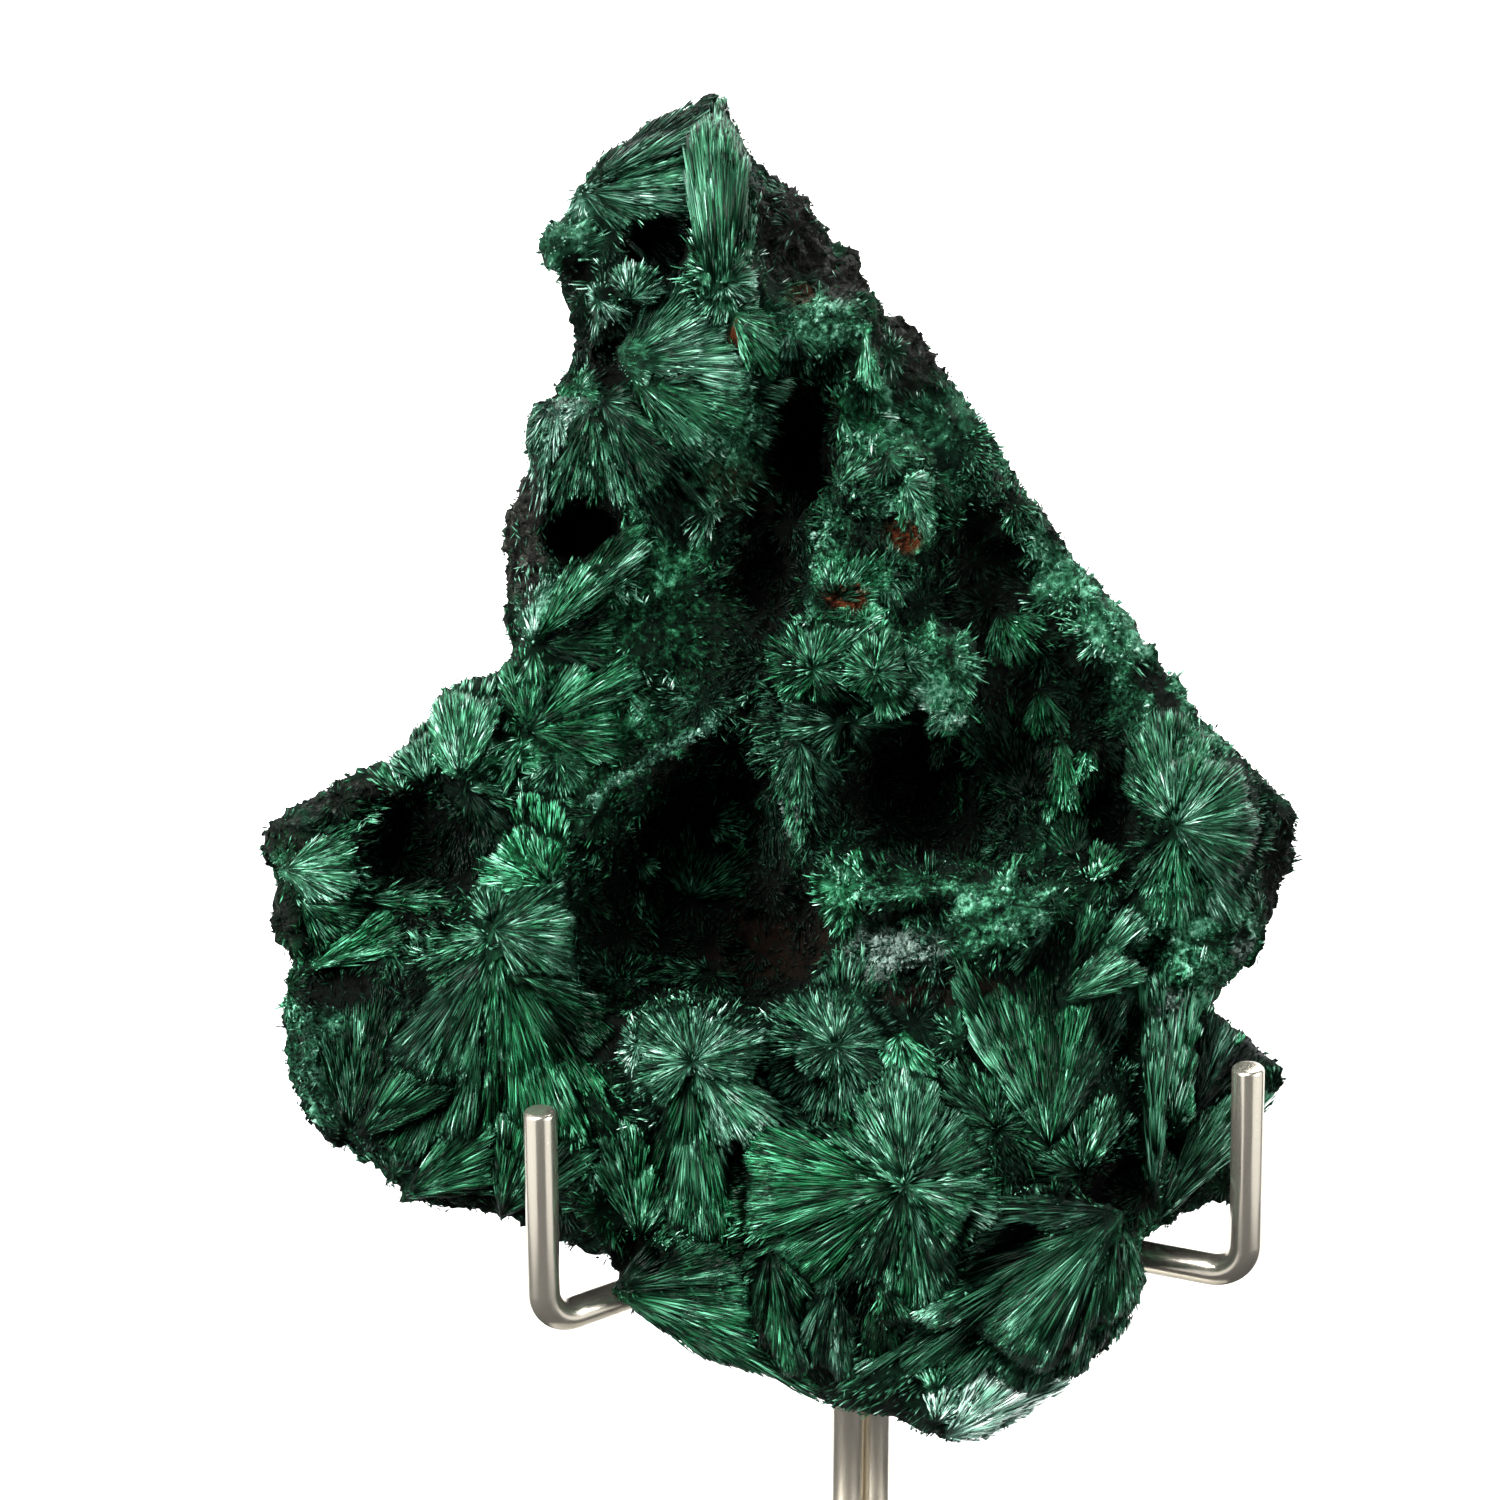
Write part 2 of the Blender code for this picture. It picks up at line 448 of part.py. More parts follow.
def rest_prism(group):
    # Whatever is behind the two arms ends above them, so that the stone rests on them
    corners = [(LEFT_PRONG[0] * REST_REACH, LEFT_PRONG[1] * REST_REACH), (0, REST_FRONT),
               (RIGHT_PRONG[0] * REST_REACH, RIGHT_PRONG[1] * REST_REACH),
               (REST_SIDE, REST_REAR), (-REST_SIDE, REST_REAR)]
    top = ARM_HEIGHT + WIRE_DIAMETER * 0.5 + TOUCH_GAP
    bm = bmesh.new()
    face = bm.faces.new([bm.verts.new((x * MM, y * MM, (top - REST_DEPTH) * MM)) for x, y in corners])
    raised = bmesh.ops.extrude_face_region(bm, geom=[face])
    lifted = [item for item in raised["geom"] if isinstance(item, bmesh.types.BMVert)]
    bmesh.ops.translate(bm, verts=lifted, vec=(0, 0, REST_DEPTH * MM))
    bmesh.ops.recalc_face_normals(bm, faces=bm.faces)
    mesh = bpy.data.meshes.new("rest")
    bm.to_mesh(mesh)
    bm.free()
    return new_object("rest", mesh, group)


def make_stone(parts, tools):
    pieces = [
        slab("core", CORE_EDGE, STONE_BACK, tools, STONE_RIM),
        slab("block", BLOCK_EDGE, BLOCK_BACK, tools, BLOCK_RIM),
        slab("back_lobe", BACK_LOBE_EDGE, BACK_LOBE_BACK, tools, BACK_LOBE_RIM)]
    pieces += [lump(name, values, tools) for name, values in LUMPS.items()]
    pieces += [lump(name, values, tools) for name, values in BACK_LUMPS.items()]
    pieces += [fan(name, values, tools) for name, values in FANS.items()]
    body = fuse("body", pieces, tools, CELL, 2)
    hollows = [lump(name, values, tools) for name, values in HOLLOWS.items()]
    cutter = fuse("hollows", hollows, tools, CELL, 0)
    body = subtract(body, cutter, tools)
    bpy.data.objects.remove(cutter, do_unlink=True)
    walls = [ridge(name, *values, tools) for name, values in RIDGES.items()]
    stone = fuse("stone", [body] + walls, tools, CELL, 1)
    roughen(stone.data)
    seat_in_frame(stone.data)
    rest = rest_prism(tools)
    stone = subtract(stone, rest, tools)
    bpy.data.objects.remove(rest, do_unlink=True)
    keep_largest(stone.data)
    faces = sum(len(face.vertices) - 2 for face in stone.data.polygons)
    thin = stone.modifiers.new("Thin out", "DECIMATE")
    thin.ratio = STONE_TRIANGLES / faces
    return new_object("malachite", bake(stone), parts)


def bend_points(corners, radius, steps):
    # Rounds each inner corner of a wire's route with an arc
    points = [Vector(corners[0])]
    for before, corner, after in zip(corners, corners[1:], corners[2:]):
        corner = Vector(corner)
        back = (Vector(before) - corner).normalized()
        ahead = (Vector(after) - corner).normalized()
        half = back.angle(ahead) * 0.5
        reach = radius / math.tan(half)
        centre = corner + (back + ahead).normalized() * (radius / math.sin(half))
        start = corner + back * reach - centre
        end = corner + ahead * reach - centre
        sweep = start.angle(end)
        for step in range(steps + 1):
            share = step / steps
            arm = (start * math.sin((1 - share) * sweep) + end * math.sin(share * sweep)) / math.sin(sweep)
            points.append(centre + arm)
    points.append(Vector(corners[-1]))
    return points


def wire(name, corners, diameter, group):
    curve = bpy.data.curves.new(name, "CURVE")
    curve.dimensions = "3D"
    curve.bevel_depth = diameter * 0.5 * MM
    curve.bevel_resolution = 4
    curve.use_fill_caps = True
    line = curve.splines.new("POLY")
    points = bend_points(corners, BEND_RADIUS, 6)
    line.points.add(len(points) - 1)
    for point, place in zip(line.points, points):
        point.co = (*(place * MM), 1.0)
    item = new_object(name, curve, group)
    mesh = bake(item)
    bm = bmesh.new()
    bm.from_mesh(mesh)
    bmesh.ops.recalc_face_normals(bm, faces=bm.faces)
    bm.to_mesh(mesh)
    bm.free()
    mesh.shade_smooth()
    mesh.set_sharp_from_angle(angle=math.radians(40))
    return new_object(name, mesh, group)


def wire_routes():
    spread = (WIRE_DIAMETER + POST_GAP) * 0.5
    turn = math.radians(POST_TURN)
    left_post = (-spread * math.cos(turn), -spread * math.sin(turn))
    right_post = (-left_post[0], -left_post[1])
    foot = BASE_THICKNESS + TOUCH_GAP
    top = ARM_HEIGHT + PRONG_LENGTH
    lean = math.radians(STONE_LEAN)
    rest_y = REAR_ARM_END[1] + REAR_REST_LENGTH * math.sin(lean)
    rest_z = REAR_ARM_HEIGHT + REAR_REST_LENGTH * math.cos(lean)
    rear_post = (0, spread * (math.sin(turn) + math.cos(turn)) + WIRE_DIAMETER * REAR_POST_SETBACK)
    return {
        "left_wire": [(*left_post, foot), (*left_post, ARM_HEIGHT), (*LEFT_PRONG, ARM_HEIGHT),
                      (*LEFT_PRONG, top)],
        "right_wire": [(*right_post, foot), (*right_post, ARM_HEIGHT), (*RIGHT_PRONG, ARM_HEIGHT),
                       (RIGHT_PRONG[0] - RIGHT_PRONG_LEAN, RIGHT_PRONG[1], top)],
        "rear_wire": [(*rear_post, foot), (*rear_post, REAR_ARM_HEIGHT),
                      (*REAR_ARM_END, REAR_ARM_HEIGHT), (REAR_ARM_END[0], rest_y, rest_z)]}


def make_base(group):
    mesh = bpy.data.meshes.new("base")
    bm = bmesh.new()
    bmesh.ops.create_cone(bm, cap_ends=True, segments=72, radius1=BASE_DIAMETER * 0.5 * MM,
                          radius2=BASE_DIAMETER * 0.5 * MM, depth=BASE_THICKNESS * MM)
    bmesh.ops.translate(bm, verts=bm.verts, vec=(0, 0, BASE_THICKNESS * 0.5 * MM))
    bm.to_mesh(mesh)
    bm.free()
    item = new_object("base", mesh, group)
    bevel = item.modifiers.new("Edge", "BEVEL")
    bevel.width = BASE_ROUNDING * MM
    bevel.segments = 3
    bevel.limit_method = "ANGLE"
    mesh.shade_smooth()
    mesh.set_sharp_from_angle(angle=math.radians(40))
    return item


def main():
    clear_scene()
    parts = make_collection("malachite_on_stand")
    tools = make_collection("cutters")
    stone = make_stone(parts, tools)
    for name, corners in wire_routes().items():
        rod = wire(name, corners, WIRE_DIAMETER, parts)
        rod.data.materials.append(make_material(name, "steel"))
        channel = wire(name + "_channel", corners, WIRE_DIAMETER + 2 * TOUCH_GAP, tools)
        stone = subtract(stone, channel, parts)
        bpy.data.objects.remove(channel, do_unlink=True)
    keep_largest(stone.data)
    stone.name = "malachite"
    stone.data.materials.clear()
    stone.data.materials.append(make_material("malachite", "malachite"))
    base = make_base(parts)
    base.data.materials.append(make_material("base", "plate"))


main()
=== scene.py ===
import json
import math

import bmesh
import bpy
import numpy as np
from mathutils import Matrix, Vector
from mathutils.bvhtree import BVHTree

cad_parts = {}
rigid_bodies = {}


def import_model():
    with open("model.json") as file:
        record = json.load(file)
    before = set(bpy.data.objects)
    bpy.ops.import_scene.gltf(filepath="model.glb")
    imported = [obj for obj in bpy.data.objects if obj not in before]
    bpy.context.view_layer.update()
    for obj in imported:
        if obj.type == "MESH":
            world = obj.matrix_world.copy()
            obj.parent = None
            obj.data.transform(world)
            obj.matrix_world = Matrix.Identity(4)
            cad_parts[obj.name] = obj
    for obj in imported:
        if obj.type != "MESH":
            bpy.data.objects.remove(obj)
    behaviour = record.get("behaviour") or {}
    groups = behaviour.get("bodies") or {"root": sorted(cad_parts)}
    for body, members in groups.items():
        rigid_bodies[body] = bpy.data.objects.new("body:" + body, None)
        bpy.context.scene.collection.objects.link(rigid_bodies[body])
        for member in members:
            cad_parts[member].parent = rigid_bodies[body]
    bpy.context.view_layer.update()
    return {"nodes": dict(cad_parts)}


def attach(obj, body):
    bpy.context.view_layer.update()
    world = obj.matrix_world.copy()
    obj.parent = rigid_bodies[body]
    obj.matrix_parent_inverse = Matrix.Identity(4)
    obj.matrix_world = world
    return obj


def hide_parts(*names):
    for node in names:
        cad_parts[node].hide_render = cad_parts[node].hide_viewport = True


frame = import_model()
print("frame loaded")

# How the stone is looked at: lengths in mm, the picture is 1500 units across
sight = {
    "lean": 21.0, "distance": 300.0, "unitsPerMm": 13.5, "middle": 750.0,
    "centre": (-8.7, 3.3, 90.5), "lens": 97.2, "sensor": 36.0}

leanAngle = math.radians(sight["lean"])
sightCentre = np.array(sight["centre"])
sightRight = np.array((1.0, 0.0, 0.0))
sightUp = np.array((0.0, math.sin(leanAngle), math.cos(leanAngle)))
sightToward = np.array((0.0, -math.cos(leanAngle), math.sin(leanAngle)))
sightEye = sightCentre + sightToward * sight["distance"]
mm = 0.001


def toPicture(points):
    # points in mm to picture across, picture down and depth toward the eye
    offset = points - sightCentre
    depth = offset @ sightToward
    scale = sight["unitsPerMm"] * sight["distance"] / (sight["distance"] - depth)
    across = sight["middle"] + (offset @ sightRight) * scale
    down = sight["middle"] - (offset @ sightUp) * scale
    return across, down, depth


def sightRay(across, down):
    x = (across - sight["middle"]) / sight["unitsPerMm"]
    z = (sight["middle"] - down) / sight["unitsPerMm"]
    aim = sightCentre + sightRight * x + sightUp * z - sightEye
    return aim / np.linalg.norm(aim)


def toWorld(across, down, depth):
    # picture place and depth in mm to a point in mm
    reach = (sight["distance"] - depth) / sight["distance"] / sight["unitsPerMm"]
    x = (across - sight["middle"]) * reach
    z = (sight["middle"] - down) * reach
    return sightCentre + sightRight * x + sightUp * z + sightToward * depth


def deselectAll():
    for item in bpy.context.view_layer.objects:
        item.select_set(False)


def activate(item):
    deselectAll()
    item.select_set(True)
    bpy.context.view_layer.objects.active = item


def ripple(points, scale, seed, waves=7):
    # smooth noise between about -1 and 1 from a few crossing waves
    rng = np.random.default_rng(seed)
    total = np.zeros(len(points))
    for _ in range(waves):
        aim = rng.normal(size=3)
        aim *= rng.uniform(0.6, 1.7) / np.linalg.norm(aim) / scale
        total += np.sin(points @ aim * 2 * math.pi + rng.uniform(0, 6.28))
    return total / math.sqrt(waves) * 0.8


def bands(angle, count, phase, seed):
    # value noise round a circle, one value per bundle of fibres
    rng = np.random.default_rng(seed)
    values = rng.random(1024)
    place = (angle / (2 * math.pi) + 0.5) * count + phase
    low = np.floor(place).astype(int)
    share = place - low
    share = share * share * (3 - 2 * share)
    return values[low % 1024] * (1 - share) + values[(low + 1) % 1024] * share


# Sprays read off the photograph. across, down, heading (0 right, 90 up), half opening,
# reach in picture units, tone (0 black to 1 pale), silk (0 green to 1 blue-grey), sink of the
# centre under the surface in mm, rise of the spray in mm, and where it starts if not at its centre
sprays = {
    "topFan": (582, 192, 2, 38, 128, 0.42, 0.50, 0.5, 0.2),
    "topFanUpper": (586, 188, 33, 12, 150, 0.42, 0.60, 0.5, 0.5),
    "topColumn": (722, 425, 91, 5.2, 305, 0.55, 0.50, 0.5, 0.5, 122),
    "topRosette": (724, 282, 0, 180, 42, 0.56, 0.45, 1.0, 0.3),
    "topFanCentre": (584, 192, 0, 180, 26, 0.72, 0.90, 0.4, 0.3),
    "topColumnRight": (748, 268, 86, 10, 74, 0.58, 0.25, 0.4, 0.3),
    "topRosetteLeft": (716, 276, 155, 34, 52, 0.62, 0.25, 0.4, 0.5),
    "littleFan": (630, 299, 68, 62, 36, 0.54, 0.60, 0.4, 0.6),
    "knob": (560, 246, 90, 180, 38, 0.66, 0.60, 3.0, 0.3),
    "tealPatch": (598, 300, 220, 90, 44, 0.68, 0.75, 1.0, 0.2),
    "roundFan": (622, 362, 2, 50, 130, 0.56, 0.50, 1.8, 0.6, 22),
    "roundFanLow": (634, 380, -34, 24, 112, 0.52, 0.30, 0.6, 0.4),
    "roundFanEdge": (638, 350, 90, 180, 26, 0.80, 0.85, 2.4, 0.6),
    "spraySide": (731, 314, -40, 26, 70, 0.60, 0.10, 0.4, 0.6),
    "spraySideUp": (731, 312, 10, 26, 52, 0.55, 0.30, 0.4, 0.3),
    "browCurls": (812, 322, 90, 180, 40, 0.46, 0.55, 2.5, 0.3),
    "browDrop": (866, 316, -86, 9, 84, 0.66, 0.15, 0.4, 0.5),
    "browDropLeft": (790, 330, -78, 40, 40, 0.44, 0.40, 0.6, 0.2),
    "browKnob": (855, 308, 90, 180, 22, 0.62, 0.80, 2.5, 0.3),
    "lowerFan": (602, 400, -22, 42, 112, 0.31, 0.40, 0.8, 0.3),
    "lowerFanFoot": (592, 404, -88, 26, 96, 0.42, 0.35, 0.6, 0.5),
    "lowerCrest": (586, 402, 200, 40, 30, 0.74, 0.85, 1.2, 0.3),
    "leftLobe": (556, 398, -110, 38, 92, 0.62, 0.80, 1.5, 0.3),
    "velvetUpper": (720, 450, 90, 180, 62, 0.26, 0.35, 7.0, 0.0),
    "sideUp": (535, 643, 82, 22, 66, 0.62, 0.70, 0.4, 0.6),
    "sideRidge": (537, 641, 50, 13, 112, 0.52, 0.30, 0.4, 0.5),
    "sideRight": (538, 644, 5, 30, 62, 0.26, 0.20, 0.4, 0.1),
    "sideDown": (534, 648, -88, 24, 74, 0.52, 0.25, 0.4, 0.3),
    "sideStarUp": (528, 729, 92, 26, 84, 0.50, 0.25, 0.4, 0.4),
    "sideStarRight": (529, 730, 40, 20, 92, 0.42, 0.20, 0.4, 0.3),
    "sideStarLow": (529, 731, 0, 20, 70, 0.50, 0.15, 0.4, 0.3),
    "sideStarLeft": (527, 735, 225, 26, 56, 0.58, 0.20, 0.4, 0.5),
    "velvetSlope": (655, 610, 90, 180, 112, 0.34, 0.22, 9.0, 0.0),
    "velvetLow": (610, 720, 90, 180, 78, 0.42, 0.20, 8.0, 0.0),
    "shoulderFan": (460, 778, 88, 25, 98, 0.63, 0.30, 0.4, 0.6),
    "shoulderLeft": (430, 790, 110, 30, 80, 0.52, 0.45, 1.0, 0.3),
    "smallFan": (403, 797, 100, 50, 30, 0.60, 0.30, 0.4, 0.4),
    "smallTriangle": (486, 765, 18, 26, 40, 0.62, 0.15, 0.4, 0.5),
    "starDown": (467, 789, -88, 40, 88, 0.24, 0.35, 0.4, 0.2),
    "starRight": (468, 788, -5, 20, 42, 0.50, 0.45, 0.4, 0.4),
    "wingFan": (285, 870, -2, 36, 76, 0.62, 0.45, 0.4, 0.6),
    "wingFanLow": (300, 900, -30, 35, 62, 0.46, 0.15, 0.6, 0.4),
    "wingLong": (362, 900, 3, 12, 86, 0.52, 0.20, 0.4, 0.4),
    "wingMidFan": (304, 971, 27, 13, 102, 0.58, 0.15, 0.4, 0.5),
    "bush": (548, 884, 140, 60, 74, 0.58, 0.00, 1.2, 0.5),
    "bushSpire": (528, 868, 98, 12, 66, 0.66, 0.05, 0.4, 0.5),
    "hubTop": (494, 924, 60, 70, 66, 0.50, 0.55, 1.2, 0.4),
    "hubRight": (494, 930, -8, 42, 98, 0.48, 0.50, 0.8, 0.5),
    "hubLobe": (505, 966, -28, 20, 96, 0.52, 0.30, 0.5, 0.5),
    "hubLeft": (492, 936, 200, 40, 60, 0.58, 0.35, 0.5, 0.4),
    "hubFanLeft": (494, 944, -116, 19, 190, 0.40, 0.50, 0.5, 0.4),
    "hubFanMiddle": (496, 946, -93, 9, 150, 0.52, 0.15, 0.4, 0.6),
    "hubFanRight": (497, 946, -70, 15, 170, 0.50, 0.20, 0.5, 0.3),
    "cornerFan": (358, 1138, 44, 18, 172, 0.36, 0.35, 0.5, 0.5),
    "cornerUp": (352, 1136, 86, 20, 118, 0.32, 0.35, 0.5, 0.2),
    "wingFoot": (402, 1198, 32, 24, 140, 0.40, 0.25, 0.6, 0.4),
    "wingFootRight": (500, 1218, 60, 28, 120, 0.34, 0.20, 0.6, 0.2),
    "leftKnobs": (306, 1030, 90, 180, 50, 0.42, 0.65, 4.0, 0.2),
    "rosetteA": (692, 1062, 0, 180, 74, 0.50, 0.66, 0.9, 0.5),
    "rosetteASkirt": (696, 1064, -52, 26, 108, 0.54, 0.58, 0.6, 0.6),
    "rosetteADown": (690, 1068, -92, 19, 168, 0.44, 0.20, 0.5, 0.3),
    "littleRosette": (637, 1045, 0, 180, 30, 0.68, 0.70, 0.6, 0.5),
    "rosetteB": (836, 1046, 0, 180, 66, 0.44, 0.65, 0.8, 0.4),
    "rosetteBUp": (836, 1046, 100, 40, 84, 0.50, 0.60, 0.8, 0.3),
    "brightSpray": (899, 1034, -88, 44, 50, 0.70, 0.00, 0.4, 0.5),
    "star": (905, 1186, 0, 180, 92, 0.50, 0.40, 0.6, 0.5),
    "starLeft": (905, 1186, 178, 21, 178, 0.42, 0.20, 0.5, 0.4),
    "starLeftLow": (905, 1187, -146, 14, 158, 0.40, 0.20, 0.5, 0.2),
    "starUp": (905, 1184, 96, 24, 104, 0.52, 0.45, 0.5, 0.6),
    "starRightUp": (906, 1184, 34, 20, 112, 0.46, 0.40, 0.5, 0.3),
    "starDownLeft": (904, 1190, -112, 18, 122, 0.40, 0.45, 0.5, 0.6),
    "starDownRight": (906, 1190, -72, 20, 112, 0.40, 0.45, 0.5, 0.4),
    "darkStar": (998, 1130, 0, 180, 62, 0.36, 0.30, 0.5, 0.2),
    "darkStarRight": (1082, 1174, 110, 60, 76, 0.42, 0.35, 0.5, 0.3),
    "rightVertical": (1050, 1150, 92, 26, 150, 0.36, 0.35, 0.6, 0.1),
    "upperFanRight": (1058, 1003, 34, 18, 100, 0.56, 0.35, 0.5, 0.5),
    "upperFanFlat": (1062, 1002, 62, 14, 80, 0.40, 0.30, 0.5, 0.2),
    "darkFan": (1117, 1210, 183, 15, 148, 0.32, 0.55, 0.5, 0.5),
    "lowFan": (1117, 1213, -135, 19, 262, 0.42, 0.50, 0.5, 0.6),
    "lowFanRight": (1116, 1214, -106, 14, 168, 0.46, 0.35, 0.5, 0.4),
    "edgeFan": (1122, 1216, -84, 12, 130, 0.50, 0.35, 0.5, 0.3),
    "footFan": (613, 1290, 22, 24, 168, 0.44, 0.30, 0.5, 0.5),
    "footFanLow": (614, 1292, -14, 18, 190, 0.48, 0.20, 0.5, 0.3),
    "footUp": (640, 1240, 80, 34, 96, 0.46, 0.20, 0.5, 0.3),
    "dropLeft": (770, 1245, -76, 22, 140, 0.34, 0.40, 0.5, 0.2),
    "dropMiddle": (835, 1268, -100, 22, 116, 0.38, 0.55, 0.5, 0.3),
    "dropRight": (880, 1278, -75, 24, 100, 0.42, 0.25, 0.5, 0.2),
    "brightFoot": (936, 1392, 100, 30, 44, 0.74, 0.10, 0.4, 0.4),
    "tip": (946, 1438, 34, 30, 150, 0.84, 1.0, 0.4, 0.3),
    "tipLow": (936, 1424, 60, 40, 50, 0.75, 0.85, 0.4, 0.2),
    "crestEdge": (1152, 1226, 89, 3, 232, 0.54, 0.45, 0.4, 0.5),
    "bladeRight": (1168, 1142, 70, 16, 150, 0.62, 0.15, 0.4, 0.3),
    "lobeFan": (1152, 1224, 62, 18, 150, 0.50, 0.45, 0.5, 0.3),
    "lobeUpper": (1190, 1120, 62, 22, 110, 0.20, 0.80, 0.6, 0.1),
    "lumpAStar": (812, 668, 0, 180, 62, 0.44, 0.30, 0.5, 0.4),
    "lumpALeft": (820, 668, 195, 36, 72, 0.48, 0.20, 0.5, 0.4),
    "lumpBStar": (876, 673, 0, 180, 46, 0.50, 0.30, 0.5, 0.5),
    "lumpBUp": (876, 670, 66, 14, 70, 0.58, 0.20, 0.4, 0.5),
    "lumpBBlade": (878, 672, -74, 16, 66, 0.58, 0.20, 0.4, 0.5),
    "lumpCFan": (906, 660, 10, 60, 26, 0.56, 0.40, 0.6, 0.4),
    "paleLump": (946, 664, 90, 180, 42, 0.62, 0.30, 3.0, 0.7),
    "lumpDFan": (842, 722, 190, 50, 66, 0.44, 0.60, 0.6, 0.3),
    "lumpDRight": (850, 724, -24, 40, 52, 0.38, 0.50, 0.8, 0.2),
    "smallBlades": (950, 724, -85, 44, 52, 0.66, 0.10, 0.4, 0.4),
    "hookTop": (838, 486, 30, 80, 34, 0.54, 0.35, 0.6, 0.3),
    "hookSide": (905, 482, -30, 50, 46, 0.56, 0.25, 0.6, 0.3),
    "hookLow": (835, 600, 80, 60, 46, 0.50, 0.20, 0.6, 0.3),
    "wallFan": (800, 742, -100, 60, 60, 0.44, 0.60, 1.5, 0.2),
    "edgeUpperLow": (1022, 492, 90, 180, 40, 0.52, 0.45, 3.0, 0.3),
    "edgeUpper": (962, 420, 90, 180, 44, 0.54, 0.50, 3.0, 0.3),
    "edgeStripD": (1256, 812, 90, 180, 34, 0.52, 0.40, 3.0, 0.4),
    "edgeStripC": (1204, 744, 90, 180, 36, 0.58, 0.45, 3.0, 0.4),
    "pitRim": (1158, 688, 90, 180, 40, 0.60, 0.40, 3.0, 0.6),
    "edgeStripB": (1116, 622, 90, 180, 38, 0.60, 0.45, 3.0, 0.4),
    "edgeStripA": (1086, 570, 90, 180, 38, 0.58, 0.45, 3.0, 0.4),
    "grooveTuft": (1090, 745, -96, 30, 54, 0.74, 0.15, 0.4, 0.6),
    "grooveSprig": (1000, 610, -60, 40, 44, 0.78, 0.15, 0.4, 0.6),
    "grooveBlades": (1040, 690, -80, 30, 60, 0.80, 0.10, 0.4, 0.6),
    "cavityRoof": (770, 790, -110, 40, 60, 0.60, 0.40, 0.5, 0.4),
    "cavityWall": (640, 862, -40, 40, 56, 0.80, 0.30, 0.5, 0.6),
    "cavityFloor": (690, 900, 70, 50, 60, 0.75, 0.30, 0.5, 0.6),
    "cavityNeedle": (892, 834, 178, 8, 52, 0.98, 0.60, 0.4, 0.6),
    "pillarRight": (1062, 735, -88, 16, 90, 0.80, 0.15, 0.4, 0.6),
    "pillarSpray": (940, 742, -96, 30, 60, 0.85, 0.10, 0.4, 0.8),
    "cavityBlade": (706, 822, -8, 40, 34, 0.95, 0.15, 0.4, 1.2),
    "cavityLeafLeft": (664, 836, -66, 26, 34, 0.85, 0.20, 0.4, 0.8),
    "grooveFan": (1030, 800, 95, 44, 76, 0.34, 0.15, 0.6, 0.2),
    "grooveLow": (1075, 860, 100, 36, 70, 0.34, 0.20, 0.6, 0.2),
    "dome": (1176, 826, 18, 75, 92, 0.48, 0.50, 0.8, 0.4),
    "domeUp": (1176, 824, 105, 40, 94, 0.50, 0.40, 0.8, 0.4),
    "domeDown": (1178, 828, -80, 42, 74, 0.44, 0.35, 0.8, 0.3),
    "ledgeLeft": (878, 884, 90, 180, 30, 0.50, 0.35, 3.0, 0.6),
    "ledgeEnd": (1068, 900, 90, 180, 26, 0.50, 0.35, 2.4, 0.5),
    "curlRight": (1092, 884, 66, 24, 46, 0.76, 0.25, 0.4, 0.8),
    "curlMiddle": (1008, 884, 74, 20, 44, 0.78, 0.25, 0.4, 0.8),
    "curlLeft": (866, 882, 112, 18, 38, 0.78, 0.25, 0.4, 0.8),
    "ledgeTop": (944, 878, 90, 180, 26, 0.50, 0.35, 3.0, 0.6),
    "ledgeMiddle": (930, 912, 90, 180, 34, 0.30, 0.30, 3.0, 0.1),
    "ledgeRight": (1016, 904, 90, 180, 44, 0.46, 0.40, 3.0, 0.6),
    "ledgeLow": (1050, 930, 190, 40, 50, 0.42, 0.50, 1.0, 0.2),
    "velvetRight": (1190, 940, 90, 180, 70, 0.46, 0.35, 6.0, 0.0)}

# Places seen in the photograph: across, down, half width, half height, strength
# the hollow places are painted shade: colour darkened where cavities and the gaps under overhangs lie in shadow
hollowShadePlaces = [
    (735, 850, 84, 90, 0.72), (690, 900, 90, 100, 0.58), (770, 950, 80, 66, 0.70), (640, 930, 50, 70, 0.50),
    (915, 800, 88, 60, 0.65), (990, 800, 46, 70, 0.45), (418, 852, 70, 44, 0.75),
    (590, 536, 44, 38, 1.0), (808, 452, 34, 76, 1.0), (776, 570, 34, 86, 0.85),
    (664, 250, 40, 38, 0.9), (576, 270, 12, 16, 1.0), (602, 352, 22, 22, 0.9),
    (985, 600, 44, 110, 0.9), (1045, 700, 60, 100, 0.85), (1110, 800, 34, 80, 0.8),
    (868, 536, 26, 20, 0.9), (1125, 1184, 28, 36, 1.0), (642, 1258, 44, 30, 0.9),
    (730, 1248, 60, 22, 0.8), (345, 985, 60, 26, 0.9), (590, 1030, 50, 30, 0.9),
    (405, 932, 36, 24, 0.7), (965, 990, 90, 16, 0.7), (1008, 1160, 20, 50, 0.5),
    (860, 1310, 24, 44, 0.6), (905, 911, 44, 9, 0.8), (985, 868, 60, 9, 0.6), (1150, 677, 18, 16, 1.0), (1170, 700, 12, 11, 1.0),
    (745, 640, 46, 90, 0.6), (1278, 832, 17, 30, 0.7), (560, 1180, 22, 60, 0.6), (1000, 470, 34, 70, 0.5)]
rustPlaces = [
    (765, 945, 56, 34, 0.16), (734, 337, 8, 8, 1.0), (796, 391, 14, 11, 1.0), (819, 401, 12, 8, 0.9),
    (905, 535, 19, 16, 1.0), (845, 597, 23, 13, 1.0),
    (950, 992, 60, 12, 0.14), (800, 290, 14, 10, 0.5), (745, 490, 40, 30, 0.12)]
